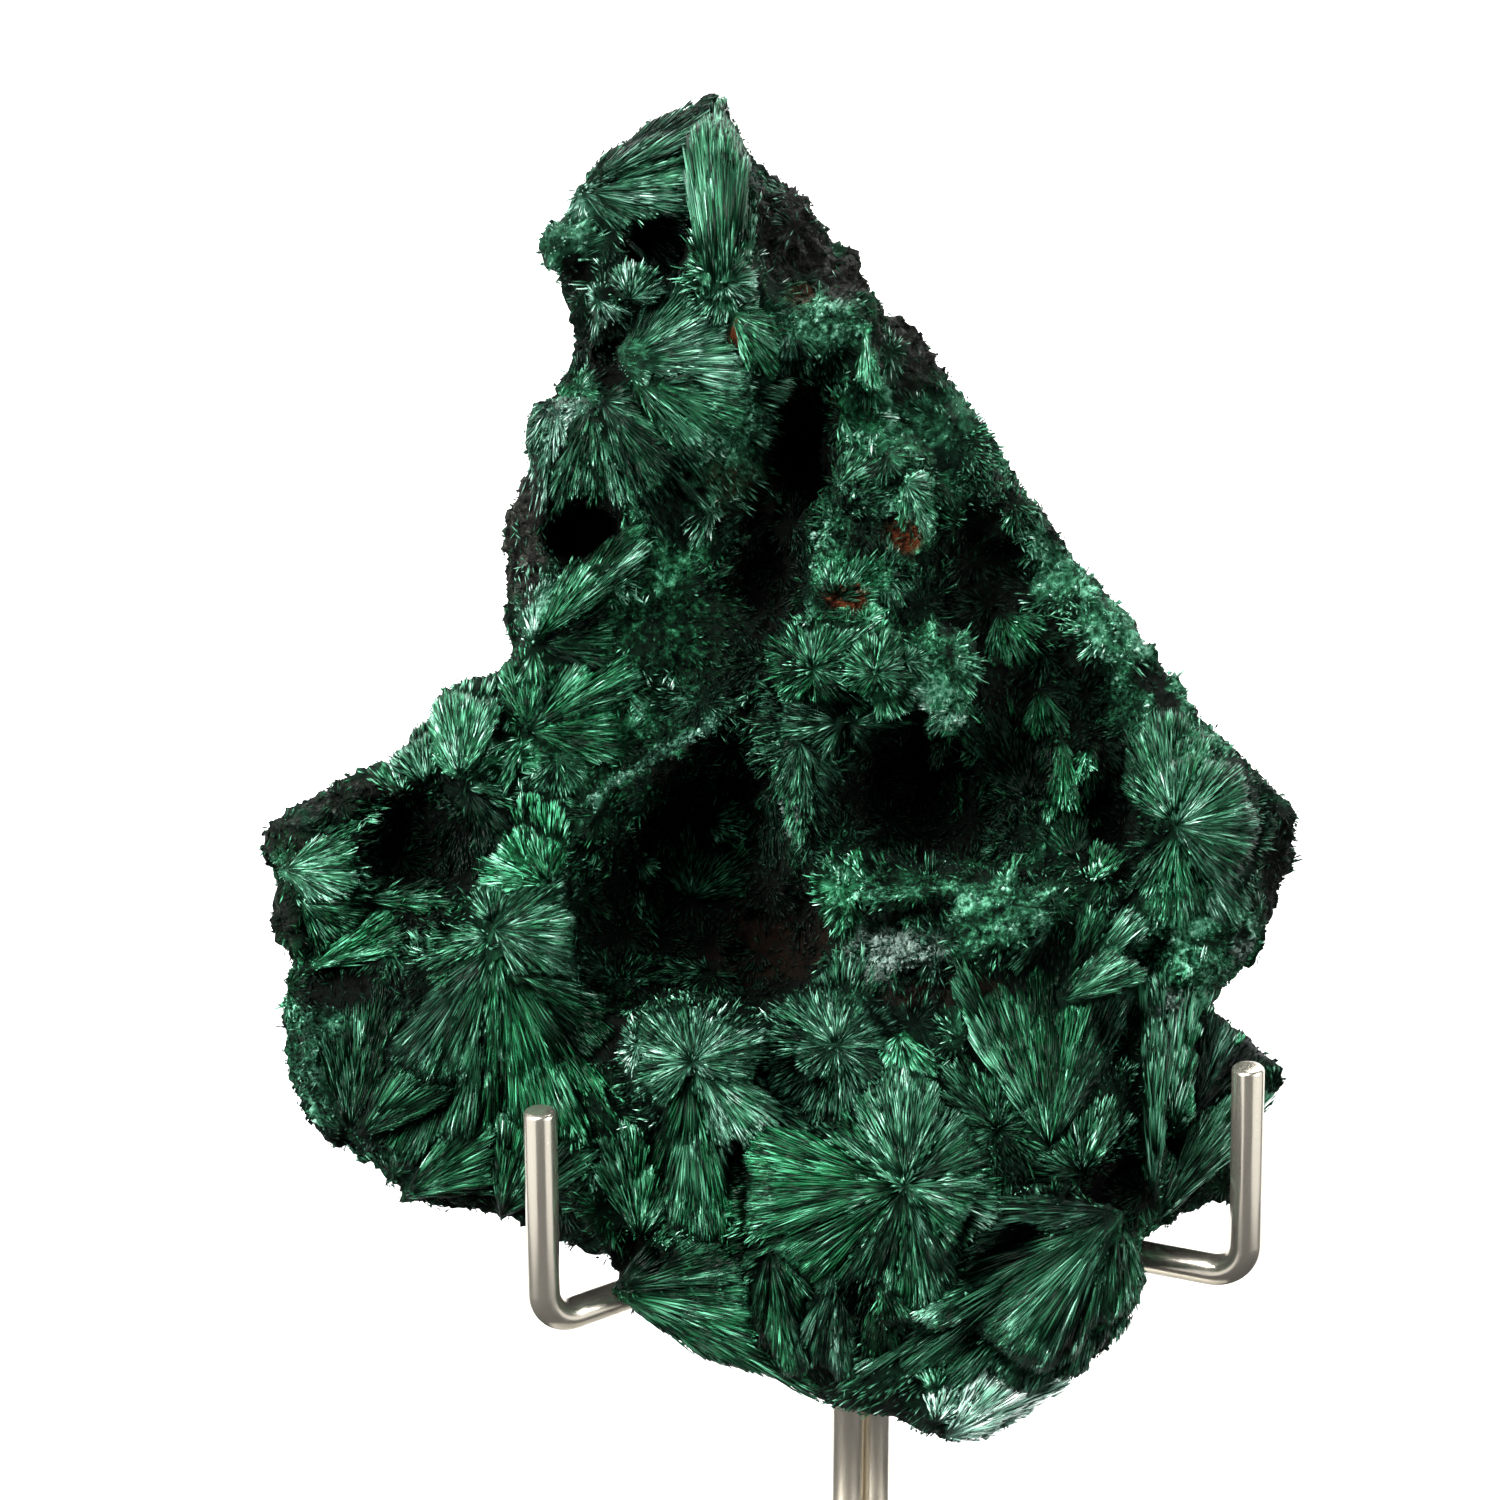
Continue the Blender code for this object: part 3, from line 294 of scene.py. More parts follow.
rockPlaces = [
    (800, 225, 46, 60, 1.0), (848, 272, 34, 28, 1.0), (905, 345, 34, 50, 0.8), (748, 130, 16, 50, 0.5),
    (520, 540, 24, 76, 1.0), (350, 792, 70, 18, 0.7), (280, 840, 24, 30, 0.6), (276, 930, 20, 40, 0.6),
    (1010, 440, 30, 70, 0.35), (1280, 900, 24, 50, 0.7), (1240, 990, 30, 24, 0.6),
    (742, 724, 18, 13, 0.9), (708, 750, 20, 13, 0.9), (670, 774, 22, 12, 0.8)]
velvetPlaces = [
    (655, 610, 100, 120, 1.0), (610, 720, 80, 84, 1.0), (1190, 940, 66, 60, 1.0), (1060, 620, 120, 200, 0.7),
    (720, 450, 60, 60, 0.9), (815, 320, 54, 34, 1.0), (960, 660, 60, 90, 0.6), (306, 1040, 44, 90, 0.8),
    (1010, 400, 60, 90, 0.5), (950, 910, 130, 46, 0.9), (945, 668, 34, 64, 1.0), (872, 540, 74, 80, 1.0), (890, 410, 60, 60, 0.6),
    (560, 246, 40, 40, 0.5), (1170, 740, 60, 80, 0.7)]
crustPlaces = [(893, 956, 50, 24, 0.85), (786, 812, 9, 22, 0.8), (566, 408, 26, 14, 0.5), (1180, 1006, 16, 10, 1.0), (1245, 950, 9, 12, 1.0)]

# Granular rims seen in the photograph, raised, grainy and painted paler: partly a pale crust, partly a painted
# highlight on the crests. Half width, strength, picture places along them
rimLines = [
    (7, 1.5, [(745, 700), (700, 732), (664, 752), (622, 776), (590, 800)]),
    (8, 0.6, [(590, 800), (572, 846), (560, 880)]),
    (9, 0.5, [(840, 872), (862, 884), (884, 898), (920, 890), (960, 884), (985, 892)]),
    (9, 0.5, [(985, 896), (1010, 886), (1040, 888), (1066, 900)]),
    (8, 0.45, [(846, 920), (880, 934), (930, 936), (985, 922), (1040, 916), (1066, 908)]),
    (7, 0.5, [(850, 946), (880, 960), (920, 956), (950, 966), (985, 952)]),
    (11, 0.8, [(838, 482), (862, 496), (884, 516), (905, 516), (926, 530)]),
    (10, 0.7, [(838, 482), (820, 510), (812, 560), (806, 610)]),
    (9, 0.7, [(826, 592), (850, 580), (872, 596)]),
    (9, 0.8, [(600, 402), (560, 420), (534, 450)]),
    (9, 0.6, [(786, 745), (790, 800), (800, 850), (838, 866)]),
    (8, 0.6, [(862, 312), (856, 296), (838, 300), (812, 314)]),
    (9, 0.5, [(868, 378), (890, 420), (918, 460), (936, 500)]),
    (9, 0.5, [(960, 640), (968, 680), (962, 730), (985, 800)]),
    (8, 0.5, [(486, 885), (540, 880), (575, 900), (585, 940), (580, 985)]),
    (9, 0.4, [(305, 1000), (318, 1060), (330, 1100)]),
    (10, 0.5, [(1010, 520), (1060, 600), (1110, 660), (1130, 720), (1150, 760)]),
    (8, 0.5, [(1130, 655), (1150, 650), (1172, 672), (1190, 700)])]

sprayShape = {"farthest": 1.45, "widest": 1.35}
stoneShape = {
    "voxel": 0.5, "rise": 2.1, "fineBand": 0.30, "coarseBand": 0.40, "grit": 0.16, "lumps": 0.45, "shrink": 0.30, "under": 0.84,
    "fillSpacing": 3.4, "seed": 11}
needleShape = {
    "density": 66.0, "most": 110000, "fillDensity": 34.0, "raised": 23000, "length": (0.5, 1.5), "width": (0.08, 0.155),
    "raisedWidth": (0.09, 0.17), "roof": 0.22, "ridge": 0.5, "stagger": 0.24, "patch": 0.10, "jitter": 0.045,
    "tilt": 0.42, "bundleTone": 0.24, "patchTone": 0.17, "needleTone": 0.10, "hubTone": -0.05,
    "darkShare": 0.14, "paintedGlintShare": 0.03, "tuft": 9, "lift": 0.16,
    "spread": 0.12, "edge": 3.5, "backShare": 0.30, "toneSteps": 31, "silkSteps": 7, "seed": 5}
grainShape = {"count": 23000, "size": (0.05, 0.21), "seed": 17}
sightGrid = {"left": 240, "right": 1320, "top": 70, "bottom": 1460, "step": 2}
raisedSpray = np.array([values[7] > 1.9 for values in sprays.values()])


def inPlaces(across, down, depth, places, softness=0.3):
    # how far each point lies inside any of the listed ovals, fading out at their rims
    total = np.zeros(len(across))
    spots = np.stack([across, down, depth * 13.5], axis=1)
    wave = ripple(spots, 60.0, 41) * 0.15 + ripple(spots, 17.0, 42) * 0.11
    for x, y, halfWide, halfTall, strength in places:
        gap = np.hypot((across - x) / halfWide, (down - y) / halfTall) + wave
        total = np.maximum(total, strength * np.clip((1.0 + softness * 0.5 - gap) / softness, 0, 1))
    return total


def copyOfNode(name, newName):
    mesh = bpy.data.meshes.new(newName)
    bm = bmesh.new()
    bm.from_mesh(frame["nodes"][name].data)
    bmesh.ops.remove_doubles(bm, verts=bm.verts, dist=0.00001)
    bm.to_mesh(mesh)
    bm.free()
    item = bpy.data.objects.new(newName, mesh)
    bpy.context.scene.collection.objects.link(item)
    return item


def meshArrays(mesh):
    count = len(mesh.vertices)
    places = np.empty(count * 3)
    mesh.vertices.foreach_get("co", places)
    normals = np.empty(count * 3)
    mesh.vertex_normals.foreach_get("vector", normals)
    return places.reshape(-1, 3) / mm, normals.reshape(-1, 3)


def meshTriangles(mesh):
    mesh.calc_loop_triangles()
    corners = np.empty(len(mesh.loop_triangles) * 3, dtype=np.int32)
    mesh.loop_triangles.foreach_get("vertices", corners)
    return corners.reshape(-1, 3)


def storeValues(mesh, name, values):
    kind = "FLOAT" if values.ndim == 1 else "FLOAT_VECTOR"
    layer = mesh.attributes.new(name, kind, "POINT")
    layer.data.foreach_set("value" if values.ndim == 1 else "vector", values.astype(np.float32).ravel())


def makeSprayTable(places, normals, triangles):
    # each spray's centre lies a little under the surface that the eye meets there
    tree = BVHTree.FromPolygons([tuple(p) for p in places], [tuple(t) for t in triangles])
    rows = []
    for name, values in sprays.items():
        across, down, heading, half, reach, tone, silk, sink, rise, start = (*values, 0)[:10]
        hit, normal, _, _ = tree.ray_cast(Vector(sightEye), Vector(sightRay(across, down)))
        if hit is None:
            near, normal, _, _ = tree.find_nearest(Vector(toWorld(across, down, 0.0)))
            hit = near
        inward = 0.6 * np.array(normal) + 0.4 * sightToward
        inward /= np.linalg.norm(inward)
        centre = np.array(hit) - inward * sink
        rows.append((*centre, across, down, math.radians(heading), math.radians(half),
                     reach / sight["unitsPerMm"], tone, silk, rise, *inward, start / sight["unitsPerMm"]))
    rng = np.random.default_rng(stoneShape["seed"])
    order = rng.permutation(len(places))[:9000]
    kept = []
    for index in order:
        point = places[index]
        if all(np.sum((point - other) ** 2) > stoneShape["fillSpacing"] ** 2 for other, _ in kept):
            kept.append((point, normals[index]))
    fill = []
    for point, normal in kept:
        facing = normal @ sightToward > 0.3
        sink = 0.4 if facing else rng.choice([0.5, 0.9, 3.0], p=[0.5, 0.3, 0.2])
        across, down, _ = toPicture(point)
        heading, half = rng.uniform(0, 2 * math.pi), math.radians(rng.choice([60, 95, 180]))
        fill.append((*(point - normal * sink), across, down, heading, half, stoneShape["fillSpacing"] * 0.85,
                     rng.choice([rng.uniform(0.20, 0.46), 0.66], p=[0.84, 0.16]), rng.uniform(0.1, 0.6),
                     rng.uniform(-0.4, 0.35), *normal, 0.0))
    print("sprays read", len(rows), "sprays filled in", len(fill))
    return np.array(rows), np.array(fill), tree


def chooseSprays(places, across, down, rows, fill):
    wobble = ripple(places, 3.2, 3) * 0.10 + ripple(places, 1.1, 4) * 0.05
    best = np.full(len(places), 9.0)
    chosen = np.zeros(len(places), dtype=int)
    for index, row in enumerate(rows):
        away = np.linalg.norm(places - row[:3], axis=1)
        angle = np.arctan2(row[4] - down, across - row[3]) - row[5]
        angle = np.abs((angle + math.pi) % (2 * math.pi) - math.pi)
        beyond = np.clip(angle / row[6] - 1 - wobble, 0, 9)
        score = (away / row[7] + wobble) * (1 + 1.5 * beyond) + 0.5 * beyond
        score += 0.12 if row[6] > 3 else 0.0
        inside = (beyond < 0.7) | (away < 0.9)
        inside &= away > row[14]
        score = np.where(inside & (score < sprayShape["farthest"]), score, 9.0)
        better = score < best
        best[better] = score[better]
        chosen[better] = index
    spare = np.full(len(places), 99.0)
    spareIndex = np.zeros(len(places), dtype=int)
    for index, row in enumerate(fill):
        away = np.linalg.norm(places - row[:3], axis=1) * (1 + 0.8 * wobble)
        better = away < spare
        spare[better] = away[better]
        spareIndex[better] = index
    filled = best > 8
    chosen[filled] = len(rows) + spareIndex[filled]
    best[filled] = np.clip(spare[filled] / fill[spareIndex[filled], 7] * 0.9, 0, 1.2)
    return chosen, best


def sprayAngles(places, table, chosen):
    # angle round the spray's own axis and distance from its centre
    axis = table[chosen, 11:14]
    helper = np.where(np.abs(axis[:, 2:3]) > 0.8, np.array([[1.0, 0, 0]]), np.array([[0, 0, 1.0]]))
    first = np.cross(helper, axis)
    first /= np.linalg.norm(first, axis=1)[:, None]
    second = np.cross(axis, first)
    away = places - table[chosen, :3]
    angle = np.arctan2(np.sum(away * second, axis=1), np.sum(away * first, axis=1))
    return angle, np.linalg.norm(away, axis=1)


def openness(places, normals, tree, rays=14):
    # share of the sky that each point sees, with short sight
    rng = np.random.default_rng(2)
    aims = rng.normal(size=(rays, 3))
    aims /= np.linalg.norm(aims, axis=1)[:, None]
    seen = np.zeros(len(places))
    for index, (place, normal) in enumerate(zip(places, normals)):
        start = Vector(place + normal * 0.25)
        count = 0
        for aim in aims:
            if aim @ normal < 0:
                aim = -aim
            if tree.ray_cast(start, Vector(aim), 12.0)[0] is None:
                count += 1
        seen[index] = count / rays
    return seen


def blurOver(values, edges, count, times):
    total = values
    for _ in range(times):
        summed = np.bincount(edges[:, 0], total[edges[:, 1]], count)
        summed += np.bincount(edges[:, 1], total[edges[:, 0]], count)
        number = np.bincount(edges[:, 0], minlength=count) + np.bincount(edges[:, 1], minlength=count)
        total = 0.5 * total + 0.5 * summed / np.maximum(number, 1)
    return total


def alongLines(across, down, lines):
    # how near each point lies to any of the listed rims
    total = np.zeros(len(across))
    for halfWide, strength, points in lines:
        for (x0, y0), (x1, y1) in zip(points[:-1], points[1:]):
            run = np.array((x1 - x0, y1 - y0), dtype=float)
            share = ((across - x0) * run[0] + (down - y0) * run[1]) / (run @ run)
            share = np.clip(share, 0, 1)
            gap = np.hypot(across - x0 - share * run[0], down - y0 - share * run[1])
            total = np.maximum(total, strength * np.clip(1.3 - gap / halfWide, 0, 1))
    return total


def growOpenness(mesh, places, normals, triangles):
    edges = np.empty(len(mesh.edges) * 2, dtype=np.int32)
    mesh.edges.foreach_get("vertices", edges)
    edges = edges.reshape(-1, 2)
    tree = BVHTree.FromPolygons([tuple(p) for p in places], [tuple(t) for t in triangles])
    some = np.arange(0, len(places), 3)
    light = np.full(len(places), -1.0)
    light[some] = openness(places[some], normals[some], tree, 10)
    known = light >= 0
    for _ in range(4):
        filled = np.where(known, light, 0.0)
        number = np.bincount(edges[:, 0], known[edges[:, 1]].astype(float), len(places))
        number += np.bincount(edges[:, 1], known[edges[:, 0]].astype(float), len(places))
        summed = np.bincount(edges[:, 0], filled[edges[:, 1]], len(places))
        summed += np.bincount(edges[:, 1], filled[edges[:, 0]], len(places))
        fresh = ~known & (number > 0)
        light[fresh] = summed[fresh] / number[fresh]
        known = known | fresh
    return blurOver(np.clip(light, 0, 1), edges, len(places), 2), tree


def makeStoneBody():
    body = copyOfNode("malachite", "malachiteBody")
    activate(body)
    remesh = body.modifiers.new("Cells", "REMESH")
    remesh.mode = "VOXEL"
    remesh.voxel_size = stoneShape["voxel"] * mm
    bpy.ops.object.modifier_apply(modifier=remesh.name)
    mesh = body.data
    places, normals = meshArrays(mesh)
    triangles = meshTriangles(mesh)
    rows, fill, tree = makeSprayTable(places, normals, triangles)
    table = np.vstack([rows, fill])
    across, down, depth = toPicture(places)
    chosen, best = chooseSprays(places, across, down, rows, fill)
    angle, radius = sprayAngles(places, table, chosen)
    phase = chosen * 7.31
    coarse = bands(angle, 15, phase, 21)
    fine = bands(angle, 46, phase, 22)
    share = np.clip(radius / 3.0, 0, 1)
    front = (normals @ sightToward) > 0.05
    # painted shade mask for the cavities and the shadows under overhangs
    hollowShade = inPlaces(across, down, depth, hollowShadePlaces, 0.2) * front
    rust = inPlaces(across, down, depth, rustPlaces) * front
    rock = inPlaces(across, down, depth, rockPlaces) * (depth < 6)
    rock = np.maximum(rock, np.clip((-9.0 - depth) / 4.0, 0, 0.75) * (ripple(places, 9, 8) > -0.3))
    rimCrustAndHighlight = alongLines(across, down, rimLines) * front
    hollowShade *= (1 - 0.85 * rimCrustAndHighlight) * (1 - 0.9 * np.clip(2 * rust - 0.8, 0, 1))
    velvet = inPlaces(across, down, depth, velvetPlaces) * front
    crust = inPlaces(across, down, depth, crustPlaces) * front
    grainy = np.clip(np.maximum(np.maximum(rock, crust), rimCrustAndHighlight * 0.8), 0, 1)
    smooth = 1 - grainy
    rise = stoneShape["rise"] * table[chosen, 10] * np.clip(1.15 - best ** 3, 0, 1) * smooth
    rise += 0.35 * rimCrustAndHighlight
    lumps = 0.75 - np.abs(ripple(places, 3.4, 61)) - 0.5 * np.abs(ripple(places, 1.7, 62))
    lumps -= 0.6 * velvet * (np.abs(ripple(places, 1.5, 63)) - 0.4)
    rise += stoneShape["lumps"] * lumps * (chosen >= len(rows)) + 0.3 * stoneShape["lumps"] * lumps
    grooves = ((coarse - 0.5) * stoneShape["coarseBand"] + (fine - 0.5) * stoneShape["fineBand"]) * share * smooth
    places = places + normals * (rise + grooves - stoneShape["shrink"])[:, None]
    mesh.vertices.foreach_set("co", (places * mm).ravel())
    mesh.update()
    places, normals = meshArrays(mesh)
    light, tree = growOpenness(mesh, places, normals, triangles)
    print("stone body", len(places), "points, openness measured")
    tone = table[chosen, 8] + (coarse - 0.5) * 0.30 + (fine - 0.5) * 0.30
    facts = {
        "places": places, "normals": normals, "triangles": triangles, "chosen": chosen, "table": table,
        "tone": tone, "silk": table[chosen, 9], "rock": rock, "crust": crust, "hollowShade": hollowShade,
        "light": light, "rust": rust, "rimCrustAndHighlight": rimCrustAndHighlight, "grainy": grainy, "best": best,
        "velvet": velvet, "patch": ripple(places, 2.8, 51) * 0.6 + ripple(places, 1.1, 52) * 0.5,
        "handRead": len(rows), "tree": tree}
    grit = (ripple(places, 1.3, 31) * 0.6 + ripple(places, 0.7, 32) * 0.4) * stoneShape["grit"]
    grit *= 1 + 1.6 * grainy
    mesh.vertices.foreach_set("co", ((places + normals * (grit - 0.12)[:, None]) * mm).ravel())
    mesh.update()
    # painted shade: colour darkened where little sky is seen, in hollows and creases
    skyShade = 0.20 + 0.80 * np.clip((light - 0.12) / 0.48, 0, 1)
    # painted shade: the body under the fibres is made darker so the gaps between fibres read as shadow
    base = (tone + 0.14 * facts["patch"]) * (stoneShape["under"] + 0.26 * velvet)
    # painted shade: darker toward the borders between sprays, where the gaps between them lie in shadow
    base *= 1 - 0.5 * np.clip((best - 0.75) / 0.35, 0, 1) * (1 - velvet)
    # rims painted paler: partly a pale crust, partly a painted highlight on the crests
    storeValues(mesh, "tone", base * (1 - 0.6 * hollowShade) * skyShade + 0.16 * rimCrustAndHighlight)
    storeValues(mesh, "silk", np.maximum(facts["silk"], rimCrustAndHighlight * 0.7))
    for name in ("rust", "rock", "crust", "hollowShade", "velvet"):
        storeValues(mesh, name, facts[name])
    storeValues(mesh, "grain", np.stack([angle * 6 + chosen * 3.7, radius * 0.35, chosen * 1.9], axis=1))
    for polygon in mesh.polygons:
        polygon.use_smooth = True
    return body, facts


def makeSightGrid(facts):
    # what the eye meets behind each little square of the picture
    step = sightGrid["step"]
    columns = np.arange(sightGrid["left"], sightGrid["right"], step)
    lines = np.arange(sightGrid["top"], sightGrid["bottom"], step)
    depth = np.full((len(lines), len(columns)), np.nan)
    corner = np.zeros((len(lines), len(columns)), dtype=int)
    eye = Vector(sightEye)
    tree, first = facts["tree"], facts["triangles"][:, 0]
    for row, down in enumerate(lines):
        for column, across in enumerate(columns):
            hit, _, face, _ = tree.ray_cast(eye, Vector(sightRay(across, down)))
            if hit is not None:
                depth[row, column] = (np.array(hit) - sightCentre) @ sightToward
                corner[row, column] = first[face]
    print("sight grid", depth.shape)
    return depth, corner


def gridPlace(across, down):
    column = np.clip(((across - sightGrid["left"]) / sightGrid["step"]).round().astype(int),
                     0, int((sightGrid["right"] - sightGrid["left"]) / sightGrid["step"]) - 1)
    row = np.clip(((down - sightGrid["top"]) / sightGrid["step"]).round().astype(int),
                  0, int((sightGrid["bottom"] - sightGrid["top"]) / sightGrid["step"]) - 1)
    return row, column


def layNeedles(facts, depth, corner):
    # long fibres laid out from the centre of each listed spray
    rng = np.random.default_rng(needleShape["seed"])
    table = facts["table"]
    per = sight["unitsPerMm"]
    rows = []
    across, down, far = toPicture(table[:, :3])
    line, column = gridPlace(across, down)
    seen = (np.abs(depth[line, column] - far) < 2.0) & (table[:, 11:14] @ sightToward > 0.3)
    laidSpray = np.concatenate([~raisedSpray, seen[facts["handRead"]:]])
    facts["laid"] = laidSpray
    for index in np.flatnonzero(laidSpray):
        row = table[index]
        reach = row[7]
        half = min(row[6] * sprayShape["widest"], math.pi)
        handRead = index < facts["handRead"]
        density = needleShape["density" if handRead else "fillDensity"]
        count = int(density * half * reach ** 2)
        angle = row[5] + rng.uniform(-1, 1, count) * half
        begin = reach * np.sqrt(rng.random(count)) * 1.25
        core = rng.random(count) < (0.10 if handRead else 0.02)
        begin[core] = reach * rng.uniform(0.0, 0.16, int(core.sum()))
        begin = np.where(begin < row[14], rng.uniform(row[14], reach, count), begin)
        run = reach * rng.uniform(0.10, 0.34, count) + 0.4
        farthest = reach * sprayShape["farthest"]
        rows.append(np.stack([np.full(count, index), angle, begin, np.minimum(begin + run, farthest)], axis=1))
    laid = np.vstack(rows)
    spray = laid[:, 0].astype(int)
    angle, begin, end = laid[:, 1], laid[:, 2], laid[:, 3]
    bundles = np.clip(20 + 200 / (table[spray, 7] + 2), 28, 60)
    place = (angle / (2 * math.pi) + 0.5) * bundles
    place += 0.35 * np.sin(place * 2.1 + spray)
    bundle = np.floor(place).astype(int)
    within = place - bundle
    key = (bundle * 131 + spray * 977) % 4096
    draws = np.random.default_rng(needleShape["seed"] + 1).random((4096, 6))
    bundleDraw = draws[key]
    stagger = 0.80 + 0.38 * bundleDraw[:, 0] - 0.30 * rng.random(len(laid)) ** 2 - 0.10 * np.abs(within - 0.5)
    end = np.minimum(end, table[spray, 7] * stagger * 1.3)
    good = end - begin > 0.45
    laid, spray, angle, begin, end = laid[good], spray[good], angle[good], begin[good], end[good]
    bundleDraw, within, bundle = bundleDraw[good], within[good], bundle[good]
    count = len(laid)
    cosine, sine = np.cos(angle), np.sin(angle)
    steps = 9
    extent = np.ones(count)
    alive = np.ones(count, dtype=bool)
    before = None
    off = np.zeros(count, dtype=bool)
    slack = rng.uniform(0.0, 0.10, count)
    for step in range(steps):
        share = step / (steps - 1)
        along = (begin + (end - begin) * share) * per
        row, column = gridPlace(table[spray, 3] + along * cosine, table[spray, 4] - along * sine)
        here = depth[row, column]
        owner = facts["chosen"][corner[row, column]]
        score = facts["best"][corner[row, column]]
        wrong = np.isnan(here) | ((owner != spray) & (score < 1.3 + slack))
        if before is not None:
            room = (end - begin) / (steps - 1)
            wrong |= np.abs(here - before) > room * 1.6 + 0.25
        stop = alive & wrong
        off |= stop & np.isnan(here)
        extent[stop] = (step - 1) / (steps - 1) if step else 0
        alive &= ~wrong
        before = here
    over = rng.uniform(0.0, 0.22, count) * (1 - alive) * np.where(off, 0.0, 1.0)
    length = (end - begin) * extent + over
    keep = (extent > 0) & (length > 0.4)
    inside = ((end - begin) * extent)[keep]
    spray, angle, begin, length = spray[keep], angle[keep], begin[keep], length[keep]
    cosine, sine = cosine[keep], sine[keep]
    bundleDraw, within, bundle = bundleDraw[keep], within[keep], bundle[keep]
    count = len(spray)
    marks = np.array([0.0, 0.55, 1.0])
    points = np.empty((count, 3, 3))
    normals = np.empty((count, 3, 3))
    jitter = rng.normal(size=count) * needleShape["jitter"]
    roof = 1 - np.abs(within * 2 - 1)
    lift = needleShape["roof"] * roof + needleShape["stagger"] * (bundleDraw[:, 1] - 0.4)
    tilt = needleShape["tilt"] * (bundleDraw[:, 2] - 0.15) + rng.uniform(0, 0.12, count)
    reach = table[spray, 7]
    middleCorner = None
    for mark, share in enumerate(marks):
        along = begin + np.minimum(length * share, inside)
        row, column = gridPlace(table[spray, 3] + along * per * cosine, table[spray, 4] - along * per * sine)
        here = depth[row, column]
        vertex = corner[row, column]
        side = jitter * length * share * per
        if mark == 1:
            middleCorner = vertex
        whole = begin + length * share
        aimAcross = table[spray, 3] + whole * per * cosine - side * sine
        aimDown = table[spray, 4] - whole * per * sine - side * cosine
        scale = (sight["distance"] - here) / sight["distance"] / per
        base = (sightCentre + sightRight * ((aimAcross - sight["middle"]) * scale)[:, None]
                + sightUp * ((sight["middle"] - aimDown) * scale)[:, None] + sightToward * here[:, None])
        normal = facts["normals"][vertex]
        outward = 0.5 * normal + 0.5 * sightToward
        outward /= np.linalg.norm(outward, axis=1)[:, None]
        height = lift * np.clip(whole / 1.2, 0.1, 1) + tilt * (whole / reach) ** 2
        height += needleShape["patch"] * facts["patch"][vertex]
        points[:, mark] = base + outward * (height - 0.06)[:, None]
        normals[:, mark] = outward
    # keep each fibre straight where the ground under it dips
    chord = points[:, 0] + (points[:, 2] - points[:, 0]) * marks[1]
    points[:, 1] = np.maximum((points[:, 1] - chord) @ sightToward, 0)[:, None] * sightToward * 0.7 + chord
    tones = table[spray, 8] + (bundleDraw[:, 3] - 0.5) * needleShape["bundleTone"]
    # painted shade: fibres at the edges of each bundle made darker, toward the grooves between bundles
    tones += (roof - 0.5) * 0.14 + rng.normal(size=count) * needleShape["needleTone"]
    tones += ((begin + length) / reach - 0.55) * 0.10
    hub = np.exp(-((begin + 0.4 * length) / (0.16 * reach + 0.5)) ** 2) * (spray < facts["handRead"])
    tones += needleShape["patchTone"] * facts["patch"][middleCorner] + needleShape["hubTone"] * hub
    dark = rng.random(count) < needleShape["darkShare"]
    tones[dark] *= 0.35
    # painted highlight: a few fibres made brighter as glints
    tones[rng.random(count) < needleShape["paintedGlintShare"]] += 0.26
    vertex = middleCorner
    # painted shade: fibres darkened in the hollows
    tones *= 1 - 0.45 * facts["hollowShade"][vertex]
    # painted shade: fibres darkened where little sky is seen
    tones *= 0.20 + 0.80 * np.clip((facts["light"][vertex] - 0.12) / 0.48, 0, 1)
    upper = np.clip((760 - table[spray, 4]) / 400, 0, 1)
    silks = table[spray, 9] + 0.18 * upper + (bundleDraw[:, 4] - 0.5) * 0.4 + 0.25 * facts["patch"][vertex] + 0.15 * hub
    silks = np.clip(silks, 0, 1)
    widths = rng.uniform(*needleShape["width"], count) * np.where(dark, 1.4, 1.0)
    widths *= 0.8 + 0.03 * reach
    thin = rng.random(count) < facts["grainy"][vertex] * 0.8
    thin |= rng.random(count) > needleShape["most"] / max(count - thin.sum(), 1)
    pick = ~thin
    cover = np.zeros(depth.shape, dtype=bool)
    for share in np.linspace(0.05, 0.95, 9):
        along = (begin + length * share)[pick] * per
        row, column = gridPlace(table[spray[pick], 3] + along * cosine[pick], table[spray[pick], 4] - along * sine[pick])
        cover[row, column] = True
    across, down, far = toPicture(facts["places"])
    row, column = gridPlace(across, down)
    seen = np.abs(depth[row, column] - far) < 0.9
    facts["covered"] = seen & cover[row, column]
    print("laid needles", int(pick.sum()))
    return points[pick], normals[pick], widths[pick], np.clip(tones[pick], 0, 1), silks[pick]


def tuftNeedles(facts):
    # the short crystals standing in the middle of each laid spray
    rng = np.random.default_rng(needleShape["seed"] + 3)
    table = facts["table"]
    facing = (table[:, 6] > 2.5) & (table[:, 11:14] @ sightToward > 0.55) & facts["laid"]
    facing[facts["handRead"]:] = False
    sources = np.flatnonzero(facing)
    spray = np.repeat(sources, needleShape["tuft"])
    count = len(spray)
    normal = table[spray, 11:14]
    offset = rng.normal(size=(count, 3))
    offset -= normal * np.sum(offset * normal, axis=1)[:, None]
    offset /= np.linalg.norm(offset, axis=1)[:, None]
    roots = table[spray, :3] + normal * (table[spray, 10] * stoneShape["rise"] + 0.35)[:, None]
    roots += offset * rng.uniform(0.0, 0.4, count)[:, None]
    aims = normal * rng.uniform(0.05, 0.6, count)[:, None] + offset
    aims /= np.linalg.norm(aims, axis=1)[:, None]
    lengths = rng.uniform(0.3, 0.8, count) * np.clip(table[spray, 7] / 5, 0.6, 1.1)
    tones = table[spray, 8] + rng.normal(size=count) * 0.12
    silks = np.clip(table[spray, 9] + 0.25, 0, 1)
    return roots, aims, normal, lengths, rng.uniform(0.10, 0.18, count), np.clip(tones, 0, 1), silks


